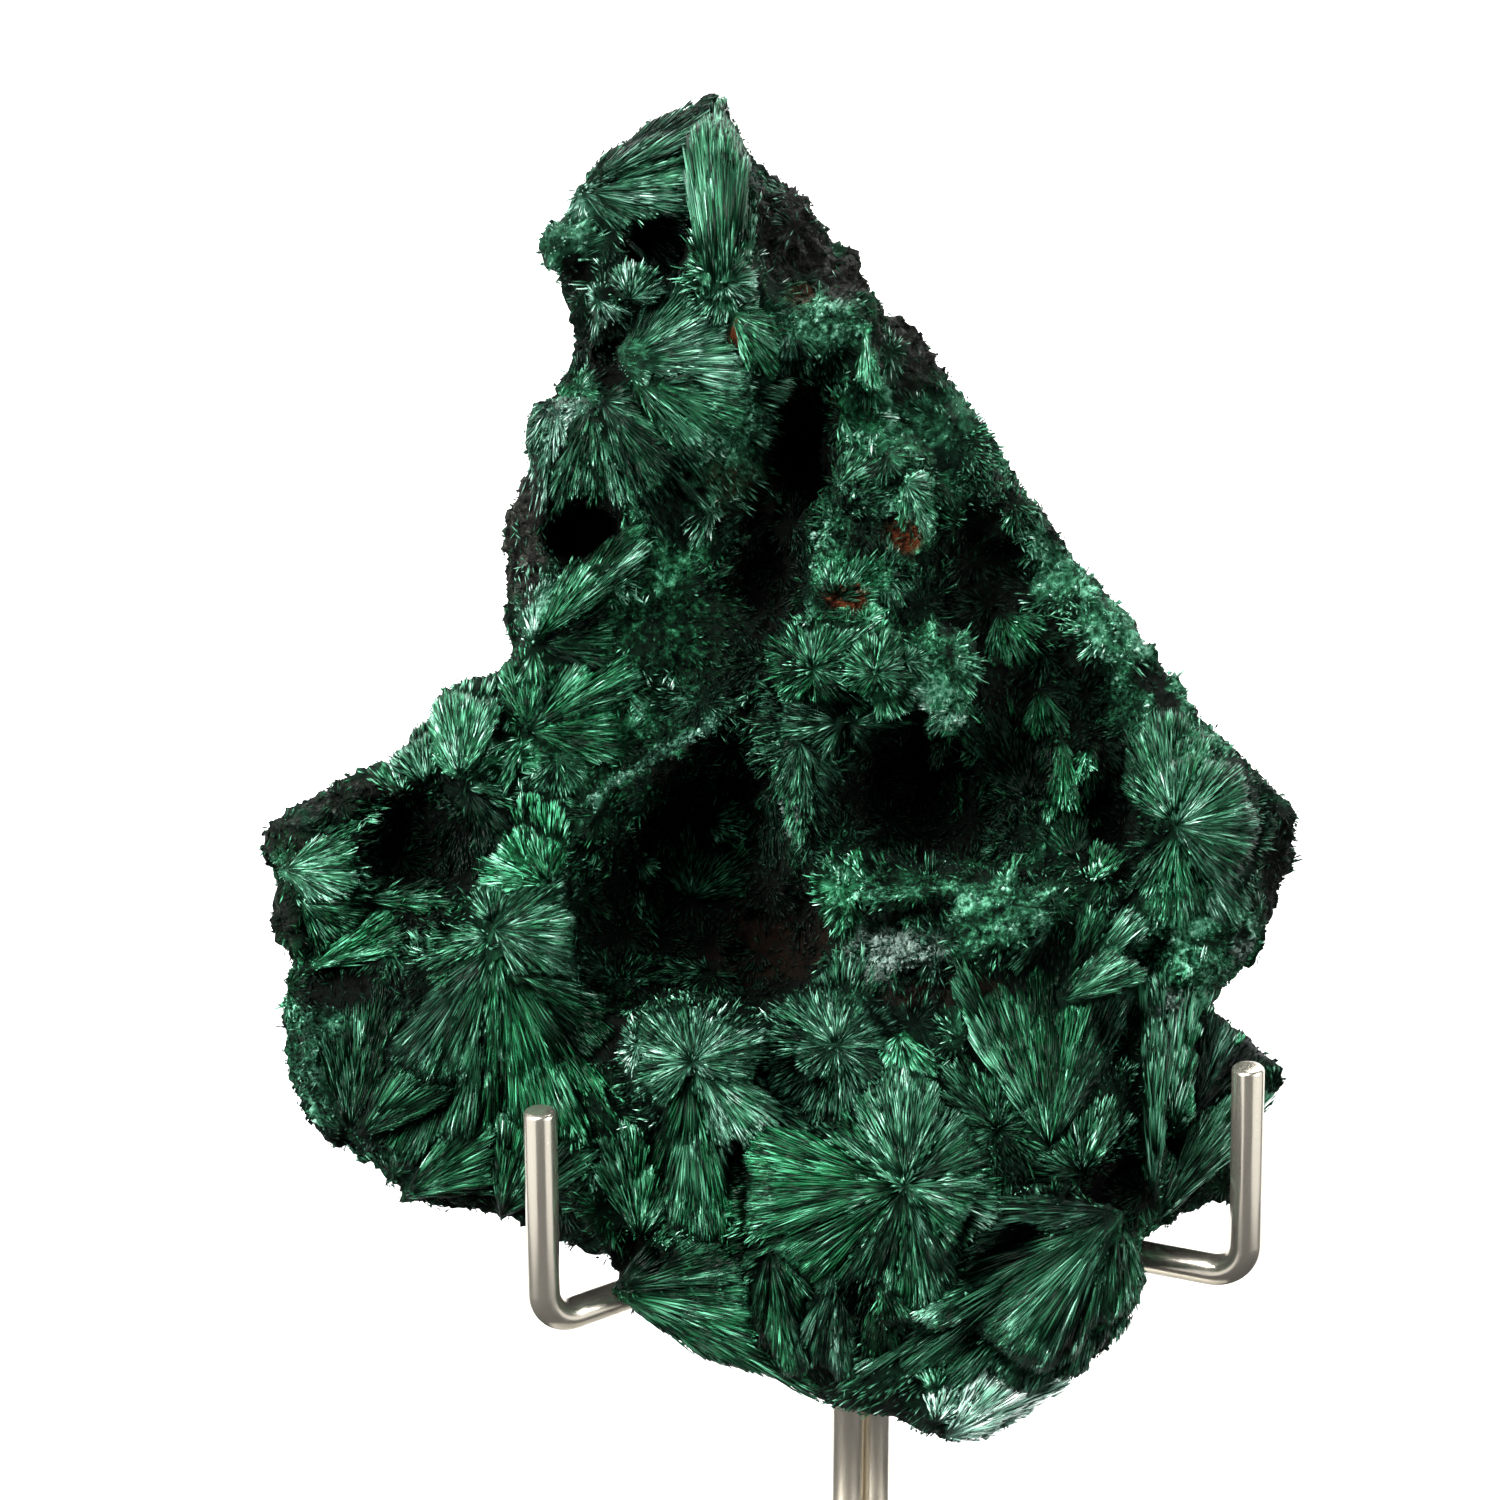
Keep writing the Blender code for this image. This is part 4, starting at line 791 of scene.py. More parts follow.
def raiseNeedles(facts):
    # short fibres standing on knobs, velvet slopes, the sides and the back
    rng = np.random.default_rng(needleShape["seed"] + 7)
    places, triangles, normals = facts["places"], facts["triangles"], facts["normals"]
    a, b, c = (places[triangles[:, k]] for k in range(3))
    area = np.linalg.norm(np.cross(b - a, c - a), axis=1) * 0.5
    first = triangles[:, 0]
    facing = normals[first] @ sightToward
    table = facts["table"]
    raised = ~facts["laid"]
    weight = area * np.where(facing > 0.0, 1.0, needleShape["backShare"])
    weight *= np.where(np.abs(facing) < 0.35, 0.4, 1.0)
    weight *= np.where(facts["covered"][first], np.where(raised[facts["chosen"][first]], 0.5, 0.05), 1.0)
    weight *= (1 - 0.8 * facts["grainy"][first]) * (1 - 0.55 * facts["velvet"][first])
    weight *= 1 - 0.5 * facts["hollowShade"][first]
    edge = np.exp(-((facts["hollowShade"][first] - 0.35) / 0.22) ** 2) * (facts["hollowShade"][first] > 0.02) * (facing > 0)
    weight += area * needleShape["edge"] * edge
    count = needleShape["raised"]
    picked = rng.choice(len(triangles), size=count, p=weight / weight.sum())
    edge = edge[picked]
    u, v = rng.random(count), rng.random(count)
    flip = u + v > 1
    u[flip], v[flip] = 1 - u[flip], 1 - v[flip]
    roots = a[picked] + (b[picked] - a[picked]) * u[:, None] + (c[picked] - a[picked]) * v[:, None]
    vertex = first[picked]
    normal = normals[vertex]
    chosen = facts["chosen"][vertex]
    angle, radius = sprayAngles(roots, table, chosen)
    away = roots - table[chosen, :3]
    away /= np.linalg.norm(away, axis=1)[:, None]
    steep = np.sum(away * normal, axis=1)
    flat = away - normal * steep[:, None] * 0.6
    phase = chosen * 7.31
    coarse = bands(angle, 12, phase, 21)
    finest = bands(angle, 60, phase, 23)
    aims = flat + normal * (needleShape["lift"] * (0.2 + 1.4 * coarse) + 0.8 * edge)[:, None]
    aims += rng.normal(size=(count, 3)) * needleShape["spread"]
    aims /= np.linalg.norm(aims, axis=1)[:, None]
    low, high = needleShape["length"]
    lengths = rng.uniform(low, high, count) * np.clip(0.4 + radius / 3.0, 0.4, 1.0)
    side = np.abs(facing[picked]) < 0.4
    lengths[side] *= 0.35
    lengths *= 1 + 0.5 * edge
    roots = roots - aims * (lengths * 0.3)[:, None]
    tones = table[chosen, 8] * 0.85 + (coarse - 0.5) * 0.30 + (finest - 0.5) * 0.30
    tones += rng.normal(size=count) * 0.11
    # painted shade: raised fibres darkened in the hollows, less so at their rims
    tones *= 1 - 0.6 * facts["hollowShade"][vertex] * (1 - edge)
    tones += 0.14 * edge
    # painted highlight: a few raised fibres made brighter as glints
    paintedGlint = rng.random(count) < 0.05
    tones[paintedGlint] += 0.2
    # painted shade: raised fibres darkened where little sky is seen
    tones *= 0.20 + 0.80 * np.clip((facts["light"][vertex] - 0.12) / 0.48, 0, 1)
    silks = np.clip(table[chosen, 9] + (bands(angle, 9, phase, 24) - 0.5) * 0.5, 0, 1)
    widths = rng.uniform(*needleShape["raisedWidth"], count)
    print("raised needles", count)
    return roots, aims, normal, lengths, widths, np.clip(tones, 0, 1), silks


def layPoints(points, outward, widths):
    # root point, one flat three-sided ring and tip point of each laid fibre
    aim = points[:, 2] - points[:, 0]
    aim /= np.linalg.norm(aim, axis=1)[:, None]
    up = outward[:, 1] - aim * np.sum(outward[:, 1] * aim, axis=1)[:, None]
    up /= np.maximum(np.linalg.norm(up, axis=1)[:, None], 1e-6)
    side = np.cross(aim, up)
    half = (widths * 0.5)[:, None]
    corners = np.empty((len(points), 5, 3))
    corners[:, 0] = points[:, 0]
    corners[:, 1] = points[:, 1] + up * half * needleShape["ridge"]
    corners[:, 2] = points[:, 1] - side * half - up * half * 0.35
    corners[:, 3] = points[:, 1] + side * half - up * half * 0.35
    corners[:, 4] = points[:, 2]
    return corners


def raisePoints(roots, aims, normal, lengths, widths):
    side = np.cross(aims, normal)
    side /= np.maximum(np.linalg.norm(side, axis=1)[:, None], 1e-6)
    across = np.cross(aims, side)
    corners = np.empty((len(roots), 5, 3))
    corners[:, 0] = roots
    corners[:, 4] = roots + aims * lengths[:, None]
    waist = roots + aims * (lengths * 0.7)[:, None]
    for k in range(3):
        turn = 2 * math.pi * k / 3 + 0.5
        corners[:, 1 + k] = waist + (side * math.cos(turn) + across * math.sin(turn)) * (widths * 0.5)[:, None]
    return corners


needleForm = {
    "faces": [[0, 2, 1], [0, 3, 2], [0, 1, 3], [4, 1, 2], [4, 2, 3], [4, 3, 1]],
    "reach": [0.0, 0.6, 0.6, 0.6, 1.0], "around": [0.5, 0.0, 0.5, 1.0, 0.5]}


def joinedMesh(name, corners, faces, values):
    # one mesh of many like bodies: their points, the faces of one of them and values per body
    count, size = corners.shape[:2]
    loops = (np.array(faces)[None] + (np.arange(count) * size)[:, None, None]).reshape(-1)
    mesh = bpy.data.meshes.new(name)
    mesh.vertices.add(count * size)
    mesh.vertices.foreach_set("co", (corners * mm).astype(np.float32).ravel())
    mesh.loops.add(len(loops))
    mesh.loops.foreach_set("vertex_index", loops.astype(np.int32))
    mesh.polygons.add(len(loops) // 3)
    mesh.polygons.foreach_set("loop_start", np.arange(0, len(loops), 3, dtype=np.int32))
    mesh.update(calc_edges=True)
    for key, value in values.items():
        storeValues(mesh, key, np.repeat(value, size) if value.ndim == 1 else value.reshape(-1, 3))
    item = bpy.data.objects.new(name, mesh)
    bpy.context.scene.collection.objects.link(item)
    return item, loops


def needlePiece(name, corners, tones, silks, material):
    count, size = corners.shape[:2]
    toneSteps, silkSteps = needleShape["toneSteps"], needleShape["silkSteps"]
    toneCell, silkCell = np.round(tones * toneSteps), np.round(silks * silkSteps)
    values = {"tone": toneCell / toneSteps, "silk": silkCell / silkSteps}
    item, loops = joinedMesh(name, corners, needleForm["faces"], values)
    storeValues(item.data, "reach", np.tile(np.array(needleForm["reach"]), count))
    u = (np.repeat(toneCell, size) + 0.1 + 0.8 * np.tile(needleForm["around"], count)) / (toneSteps + 1)
    v = (np.repeat(silkCell, size) + 0.1 + 0.8 * np.tile(needleForm["reach"], count)) / (silkSteps + 1)
    chart = item.data.uv_layers.new(name="OFBake")
    chart.data.foreach_set("uv", np.stack([u[loops], v[loops]], axis=1).astype(np.float32).ravel())
    item.data.materials.append(material)
    return item


def makeNeedles(facts, material):
    depth, corner = makeSightGrid(facts)
    items = []
    points, outward, widths, tones, silks = layNeedles(facts, depth, corner)
    corners = layPoints(points, outward, widths)
    across, down, _ = toPicture(points[:, 0])
    order = np.argsort(np.arctan2(down - 800.0, across - 780.0))
    number = 0
    for part in np.array_split(order, math.ceil(len(order) * 6 / 190000)):
        number += 1
        items.append(needlePiece(f"needles{number}", corners[part], tones[part], silks[part], material))
    short = [np.concatenate(columns) for columns in zip(tuftNeedles(facts), raiseNeedles(facts))]
    corners = raisePoints(*short[:5])
    number += 1
    items.append(needlePiece(f"needles{number}", corners, short[5], short[6], material))
    print("long needles", len(order), "short needles", len(corners), "pieces", number)
    return items


def makeGrains(facts, material):
    # rounded granules on crusts, rims, rock and hollow floors
    rng = np.random.default_rng(grainShape["seed"])
    places, triangles, normals = facts["places"], facts["triangles"], facts["normals"]
    a, b, c = (places[triangles[:, k]] for k in range(3))
    area = np.linalg.norm(np.cross(b - a, c - a), axis=1) * 0.5
    first = triangles[:, 0]
    facing = normals[first] @ sightToward
    weight = area * (0.04 + facts["grainy"][first] + 1.5 * facts["rimCrustAndHighlight"][first] + 1.1 * facts["velvet"][first])
    weight += area * (2.0 * facts["crust"][first] + 0.35 * (np.abs(facing) < 0.4))
    weight *= np.where(facing > -0.1, 1.0, 0.12)
    count = grainShape["count"]
    picked = rng.choice(len(triangles), size=count, p=weight / weight.sum())
    u, v = rng.random(count), rng.random(count)
    flip = u + v > 1
    u[flip], v[flip] = 1 - u[flip], 1 - v[flip]
    vertex = first[picked]
    low, high = grainShape["size"]
    size = (low + (high - low) * rng.random(count) ** 2.2) * (1 + 0.5 * facts["crust"][vertex])
    middle = a[picked] + (b[picked] - a[picked]) * u[:, None] + (c[picked] - a[picked]) * v[:, None]
    middle += normals[vertex] * (size * rng.uniform(-0.3, 0.5, count))[:, None]
    shape = np.array([(1, 0, 0), (0, 1, 0), (-1, 0, 0), (0, -1, 0), (0, 0, 1), (0, 0, -1)], dtype=float)
    faces = [(0, 1, 4), (1, 2, 4), (2, 3, 4), (3, 0, 4), (1, 0, 5), (2, 1, 5), (3, 2, 5), (0, 3, 5)]
    stretch = rng.uniform(0.45, 1.6, (count, 1, 3))
    wobble = 1 + rng.uniform(-0.3, 0.3, (count, len(shape), 1))
    points = middle[:, None, :] + shape[None] * stretch * wobble * size[:, None, None]
    # painted shade: granules darkened where little sky is seen
    skyShade = 0.20 + 0.80 * np.clip((facts["light"][vertex] - 0.12) / 0.48, 0, 1)
    own = facts["tone"][vertex] * 1.05 + 0.12 * facts["patch"][vertex]
    # granules on the rims painted paler: partly a pale crust, partly a painted highlight
    tone = (own + 0.02 + 0.20 * facts["rimCrustAndHighlight"][vertex] + rng.normal(size=count) * 0.12) * skyShade
    # painted shade: granules darkened in the hollows
    tone *= 1 - 0.5 * facts["hollowShade"][vertex]
    silk = np.clip(facts["silk"][vertex] + 0.5 * facts["rimCrustAndHighlight"][vertex] + rng.normal(size=count) * 0.2, 0, 1)
    values = {"tone": np.clip(tone, 0, 1), "silk": silk, "grain": points * 1.5}
    for name in ("rust", "rock", "crust", "hollowShade", "velvet"):
        values[name] = facts[name][vertex] * (0.9 if name != "hollowShade" else 0.7)
    item, _ = joinedMesh("malachiteGrains", points, faces, values)
    item.data.materials.append(material)
    print("grains", count)
    return item


colours = {
    "green": [(0.0, (0.000, 0.002, 0.001)), (0.27, (0.001, 0.013, 0.004)), (0.5, (0.008, 0.106, 0.036)),
              (0.75, (0.085, 0.45, 0.235)), (1.0, (0.50, 0.86, 0.70))],
    "silk": [(0.0, (0.001, 0.003, 0.002)), (0.27, (0.004, 0.018, 0.010)), (0.5, (0.036, 0.120, 0.076)),
             (0.75, (0.27, 0.49, 0.39)), (1.0, (0.88, 0.97, 0.93))],
    "rock": [(0.38, (0.002, 0.002, 0.002)), (0.52, (0.010, 0.010, 0.008)), (0.62, (0.042, 0.046, 0.038)),
             (0.72, (0.24, 0.27, 0.24))],
    "rust": [(0.40, (0.006, 0.002, 0.001)), (0.66, (0.15, 0.040, 0.014))],
    "crust": [(0.45, (0.012, 0.040, 0.028)), (0.58, (0.30, 0.42, 0.36))]}


def fillRamp(node, stops):
    ramp = node.color_ramp
    while len(ramp.elements) > 1:
        ramp.elements.remove(ramp.elements[-1])
    ramp.elements[0].position = stops[0][0]
    ramp.elements[0].color = (*stops[0][1], 1)
    for position, colour in stops[1:]:
        ramp.elements.new(position).color = (*colour, 1)


def attributeNode(tree, name, place):
    node = tree.nodes.new("ShaderNodeAttribute")
    node.attribute_name = name
    node.location = place
    return node


def mathNode(tree, operation, first, second, place, clamp=False):
    node = tree.nodes.new("ShaderNodeMath")
    node.operation = operation
    node.use_clamp = clamp
    node.location = place
    for socket, value in zip(node.inputs, (first, second)):
        if isinstance(value, (int, float)):
            socket.default_value = value
        else:
            tree.links.new(value, socket)
    return node.outputs[0]


def mixNode(tree, share, first, second, place):
    node = tree.nodes.new("ShaderNodeMix")
    node.data_type = "RGBA"
    node.location = place
    tree.links.new(share, node.inputs[0])
    for socket, value in ((node.inputs[6], first), (node.inputs[7], second)):
        if isinstance(value, tuple):
            socket.default_value = (*value, 1)
        else:
            tree.links.new(value, socket)
    return node.outputs[2]


def makeMalachiteColour():
    # shared: tone and silk in, colour out
    group = bpy.data.node_groups.new("malachiteColour", "ShaderNodeTree")
    group.interface.new_socket("Tone", in_out="INPUT", socket_type="NodeSocketFloat")
    group.interface.new_socket("Silk", in_out="INPUT", socket_type="NodeSocketFloat")
    group.interface.new_socket("Colour", in_out="OUTPUT", socket_type="NodeSocketColor")
    start = group.nodes.new("NodeGroupInput")
    end = group.nodes.new("NodeGroupOutput")
    green = group.nodes.new("ShaderNodeValToRGB")
    fillRamp(green, colours["green"])
    silk = group.nodes.new("ShaderNodeValToRGB")
    fillRamp(silk, colours["silk"])
    group.links.new(start.outputs["Tone"], green.inputs[0])
    group.links.new(start.outputs["Tone"], silk.inputs[0])
    mixed = mixNode(group, start.outputs["Silk"], green.outputs[0], silk.outputs[0], (400, 0))
    group.links.new(mixed, end.inputs[0])
    start.location, green.location, silk.location, end.location = (-300, 0), (0, 150), (0, -150), (600, 0)
    return group


def newMaterial(name):
    material = bpy.data.materials.new(name)
    material.use_nodes = True
    shader = material.node_tree.nodes["Principled BSDF"]
    shader.location = (900, 0)
    material.node_tree.nodes["Material Output"].location = (1200, 0)
    return material, material.node_tree, shader


def makeNeedleMaterial(group):
    material, tree, shader = newMaterial("malachiteNeedles")
    tone = attributeNode(tree, "tone", (-600, 200))
    silk = attributeNode(tree, "silk", (-600, 0))
    reach = attributeNode(tree, "reach", (-600, -200))
    # painted shade: each fibre darkened toward its root, where it meets the stone, and lighter toward its tip
    depth = mathNode(tree, "MULTIPLY_ADD", reach.outputs["Fac"], 0.45, (-400, -200))
    depth.node.inputs[2].default_value = 0.62
    toned = mathNode(tree, "MULTIPLY", tone.outputs["Fac"], depth, (-200, 100), clamp=True)
    colour = tree.nodes.new("ShaderNodeGroup")
    colour.node_tree = group
    colour.location = (100, 100)
    tree.links.new(toned, colour.inputs["Tone"])
    tree.links.new(silk.outputs["Fac"], colour.inputs["Silk"])
    tree.links.new(colour.outputs[0], shader.inputs["Base Color"])
    shader.inputs["Roughness"].default_value = 0.36
    shader.inputs["Specular IOR Level"].default_value = 0.11
    return material


def makeBodyMaterial(group):
    material, tree, shader = newMaterial("malachiteBody")
    tone = attributeNode(tree, "tone", (-1000, 400))
    silk = attributeNode(tree, "silk", (-1000, 200))
    grain = attributeNode(tree, "grain", (-1000, 0))
    fibres = tree.nodes.new("ShaderNodeTexNoise")
    fibres.inputs["Scale"].default_value = 4.0
    fibres.inputs["Detail"].default_value = 5.0
    fibres.inputs["Roughness"].default_value = 0.7
    fibres.location = (-800, 0)
    tree.links.new(grain.outputs["Vector"], fibres.inputs["Vector"])
    streak = mathNode(tree, "MULTIPLY_ADD", fibres.outputs[0], 1.3, (-600, 0))
    streak.node.inputs[2].default_value = -0.72
    place = tree.nodes.new("ShaderNodeTexCoord")
    place.location = (-1200, -300)
    pile = tree.nodes.new("ShaderNodeTexNoise")
    pile.inputs["Scale"].default_value = 2300.0
    pile.inputs["Detail"].default_value = 4.0
    pile.inputs["Roughness"].default_value = 0.65
    pile.location = (-1000, -100)
    tree.links.new(place.outputs["Object"], pile.inputs["Vector"])
    fleck = mathNode(tree, "MULTIPLY_ADD", pile.outputs[0], 1.9, (-800, -150))
    fleck.node.inputs[2].default_value = -0.95
    velvet = attributeNode(tree, "velvet", (-800, 600))
    blend = tree.nodes.new("ShaderNodeMix")
    blend.location = (-500, 0)
    tree.links.new(velvet.outputs["Fac"], blend.inputs[0])
    tree.links.new(streak, blend.inputs[2])
    tree.links.new(fleck, blend.inputs[3])
    toned = mathNode(tree, "ADD", tone.outputs["Fac"], blend.outputs[0], (-400, 300), clamp=True)
    # painted shade: the body colour is kept darker than the fibres so the gaps between them read as shadow
    darker = mathNode(tree, "MULTIPLY", toned, 0.86, (-250, 300))
    colour = tree.nodes.new("ShaderNodeGroup")
    colour.node_tree = group
    colour.location = (-100, 300)
    tree.links.new(darker, colour.inputs["Tone"])
    tree.links.new(silk.outputs["Fac"], colour.inputs["Silk"])
    speck = tree.nodes.new("ShaderNodeTexNoise")
    speck.inputs["Scale"].default_value = 900.0
    speck.inputs["Detail"].default_value = 6.0
    speck.inputs["Roughness"].default_value = 0.75
    speck.location = (-800, -300)
    tree.links.new(place.outputs["Object"], speck.inputs["Vector"])
    shades = {}
    for row, name in enumerate(("rock", "rust", "crust")):
        ramp = tree.nodes.new("ShaderNodeValToRGB")
        fillRamp(ramp, colours[name])
        ramp.location = (-500, -250 - 220 * row)
        tree.links.new(speck.outputs[0], ramp.inputs[0])
        shades[name] = ramp.outputs[0]
    mixed = colour.outputs[0]
    for row, name in enumerate(("rock", "crust", "rust")):
        mask = attributeNode(tree, name, (-300, -500 - 200 * row))
        mixed = mixNode(tree, mask.outputs["Fac"], mixed, shades[name], (150 + 180 * row, 100))
    # painted shade: the hollow mask mixes the colour toward near black in cavities and under overhangs
    hollowShade = attributeNode(tree, "hollowShade", (300, -500))
    shadeBlack = mathNode(tree, "MULTIPLY", hollowShade.outputs["Fac"], 0.80, (500, -500))
    mixed = mixNode(tree, shadeBlack, mixed, (0.0015, 0.0012, 0.001), (700, 100))
    tree.links.new(mixed, shader.inputs["Base Color"])
    bump = tree.nodes.new("ShaderNodeBump")
    bump.inputs["Strength"].default_value = 0.9
    bump.inputs["Distance"].default_value = 0.0004
    bump.location = (600, -250)
    height = mathNode(tree, "ADD", fibres.outputs[0], speck.outputs[0], (400, -250))
    tree.links.new(height, bump.inputs["Height"])
    tree.links.new(bump.outputs[0], shader.inputs["Normal"])
    shader.inputs["Roughness"].default_value = 0.62
    shader.inputs["Specular IOR Level"].default_value = 0.05
    return material


steelLook = {
    "wireColour": (0.76, 0.70, 0.59), "wireRoughness": 0.22, "wireMetallic": 0.93,
    "plateColour": (0.25, 0.245, 0.23), "plateRoughness": 0.5, "plateMetallic": 0.85}


def makeSteelMaterial(kind):
    colour, roughness = steelLook[kind + "Colour"], steelLook[kind + "Roughness"]
    material, tree, shader = newMaterial(kind + "Steel")
    place = tree.nodes.new("ShaderNodeTexCoord")
    place.location = (-700, 0)
    stretch = tree.nodes.new("ShaderNodeMapping")
    stretch.inputs["Scale"].default_value = (2200, 2200, 160)
    stretch.location = (-500, 0)
    brush = tree.nodes.new("ShaderNodeTexNoise")
    brush.inputs["Scale"].default_value = 1.0
    brush.inputs["Detail"].default_value = 3.0
    brush.location = (-300, 0)
    tree.links.new(place.outputs["Object"], stretch.inputs[0])
    tree.links.new(stretch.outputs[0], brush.inputs["Vector"])
    rough = mathNode(tree, "MULTIPLY_ADD", brush.outputs[0], 0.16, (-50, -100))
    rough.node.inputs[2].default_value = roughness - 0.08
    tree.links.new(rough, shader.inputs["Roughness"])
    bump = tree.nodes.new("ShaderNodeBump")
    bump.inputs["Strength"].default_value = 0.12
    bump.inputs["Distance"].default_value = 0.00005
    bump.location = (200, -250)
    tree.links.new(brush.outputs[0], bump.inputs["Height"])
    tree.links.new(bump.outputs[0], shader.inputs["Normal"])
    shade = mixNode(tree, brush.outputs[0], tuple(v * 0.9 for v in colour), colour, (200, 100))
    tree.links.new(shade, shader.inputs["Base Color"])
    shader.inputs["Metallic"].default_value = steelLook[kind + "Metallic"]
    return material


standShape = {
    "diameter": 2.4, "gap": 0.2, "turn": 32.0, "bend": 2.6, "armHeight": 54.0, "leftProng": (-23.6, -17.5),
    "rightProng": (28.0, -10.3), "rightLean": 0.5, "prongLength": 17.1, "foot": 6.3, "rearEnd": (-3.0, 11.5),
    "rearHeight": 50.0, "rearRest": 36.0, "rearSetback": 0.6, "sides": 28, "bendSteps": 12, "tipRounding": 0.35,
    "plateDiameter": 64.0, "plateHeight": 6.0, "plateRounding": 1.2, "plateSides": 160}


def finishEditing(item):
    bpy.ops.object.mode_set(mode="OBJECT")
    bpy.ops.object.transform_apply(location=True, rotation=True, scale=True)
    return item


def wireAlong(name, corners):
    # a round bar grown along its route: extruded straight, spun round each bend
    shape = standShape
    radius = shape["diameter"] * 0.5 * mm
    corners = [Vector(corner) * mm for corner in corners]
    deselectAll()
    bpy.ops.mesh.primitive_circle_add(vertices=shape["sides"], radius=radius, fill_type="NGON", location=corners[0])
    item = bpy.context.object
    item.name = name
    bpy.ops.object.transform_apply(location=True, rotation=True, scale=True)
    bpy.ops.object.mode_set(mode="EDIT")
    bpy.ops.mesh.select_all(action="SELECT")
    place = corners[0]
    for before, corner, after in zip(corners, corners[1:], corners[2:]):
        inward = (before - corner).normalized()
        outward = (after - corner).normalized()
        half = inward.angle(outward) * 0.5
        reach = shape["bend"] * mm / math.tan(half)
        start = corner + inward * reach
        centre = corner + (inward + outward).normalized() * (shape["bend"] * mm / math.sin(half))
        axis = (-inward).cross(outward).normalized()
        bpy.ops.mesh.extrude_region_move(TRANSFORM_OT_translate={"value": start - place})
        bpy.ops.mesh.spin(steps=shape["bendSteps"], angle=-(math.pi - 2 * half), center=centre, axis=axis)
        place = corner + outward * reach
    bpy.ops.mesh.extrude_region_move(TRANSFORM_OT_translate={"value": corners[-1] - place})
    bpy.ops.mesh.select_all(action="SELECT")
    bpy.ops.mesh.remove_doubles(threshold=0.00002)
    bpy.ops.mesh.normals_make_consistent(inside=False)
    finishEditing(item)
    activate(item)
    bevel = item.modifiers.new("Ends", "BEVEL")
    bevel.width = shape["tipRounding"] * mm
    bevel.segments = 3
    bevel.limit_method = "ANGLE"
    bevel.angle_limit = math.radians(60)
    bpy.ops.object.modifier_apply(modifier=bevel.name)
    bpy.ops.object.shade_smooth_by_angle(angle=math.radians(40))
    return item


def wireRoutes():
    shape = standShape
    spread = (shape["diameter"] + shape["gap"]) * 0.5
    turn = math.radians(shape["turn"])
    leftPost = (-spread * math.cos(turn), -spread * math.sin(turn))
    rightPost = (-leftPost[0], -leftPost[1])
    rearPost = (0, spread * (math.sin(turn) + math.cos(turn)) + shape["diameter"] * shape["rearSetback"])
    top = shape["armHeight"] + shape["prongLength"]
    restY = shape["rearEnd"][1] + shape["rearRest"] * math.sin(leanAngle)
    restZ = shape["rearHeight"] + shape["rearRest"] * math.cos(leanAngle)
    return {
        "left_wire": [(*leftPost, shape["foot"]), (*leftPost, shape["armHeight"]),
                      (*shape["leftProng"], shape["armHeight"]), (*shape["leftProng"], top)],
        "right_wire": [(*rightPost, shape["foot"]), (*rightPost, shape["armHeight"]),
                       (*shape["rightProng"], shape["armHeight"]),
                       (shape["rightProng"][0] - shape["rightLean"], shape["rightProng"][1], top)],
        "rear_wire": [(*rearPost, shape["foot"]), (*rearPost, shape["rearHeight"]),
                      (*shape["rearEnd"], shape["rearHeight"]), (shape["rearEnd"][0], restY, restZ)]}


def makeStand(material, plateMaterial):
    items = []
    for name, corners in wireRoutes().items():
        item = wireAlong(name + "Smooth", corners)
        item.data.materials.append(material)
        items.append((item, name))
    shape = standShape
    deselectAll()
    bpy.ops.mesh.primitive_cylinder_add(
        vertices=shape["plateSides"], radius=shape["plateDiameter"] * 0.5 * mm, depth=shape["plateHeight"] * mm,
        location=(0, 0, shape["plateHeight"] * 0.5 * mm))
    plate = bpy.context.object
    plate.name = "plateSmooth"
    bpy.ops.object.transform_apply(location=True, rotation=True, scale=True)
    bevel = plate.modifiers.new("Edge", "BEVEL")
    bevel.width = shape["plateRounding"] * mm
    bevel.segments = 5
    bevel.limit_method = "ANGLE"
    bpy.ops.object.modifier_apply(modifier=bevel.name)
    bpy.ops.object.shade_smooth_by_angle(angle=math.radians(30))
    plate.data.materials.append(plateMaterial)
    items.append((plate, "base"))
    print("stand", len(items), "pieces")
    return items


def addCamera():
    data = bpy.data.cameras.new("camera")
    data.lens = sight["lens"]
    data.sensor_width = sight["sensor"]
    data.clip_start = 0.01
    data.clip_end = 10.0
    camera = bpy.data.objects.new("camera", data)
    bpy.context.scene.collection.objects.link(camera)
    turn = Matrix((Vector(sightRight), Vector(sightUp), Vector(sightToward))).transposed()
    camera.matrix_world = Matrix.Translation(Vector(sightEye * mm)) @ turn.to_4x4()
    bpy.context.scene.camera = camera


studio = {
    "sunPower": 4.7, "keyPower": 15.0, "fillPower": 5.5, "rimPower": 9.0, "worldGrey": 1.0, "worldStrength": 0.09,
    "floorColour": (0.5, 0.5, 0.5), "floorGlow": 0.85, "panelGlow": 1.8, "sideGlow": 1.1, "exposure": 0.0}


def addLamp(name, place, target, size, power):
    data = bpy.data.lights.new(name, "AREA")
    data.shape = "DISK"
    data.size = size
    data.energy = power
    lamp = bpy.data.objects.new(name, data)
    bpy.context.scene.collection.objects.link(lamp)
    lamp.location = place
    lamp.rotation_mode = "QUATERNION"
    lamp.rotation_quaternion = (Vector(target) - Vector(place)).to_track_quat("-Z", "Y")
    return lamp


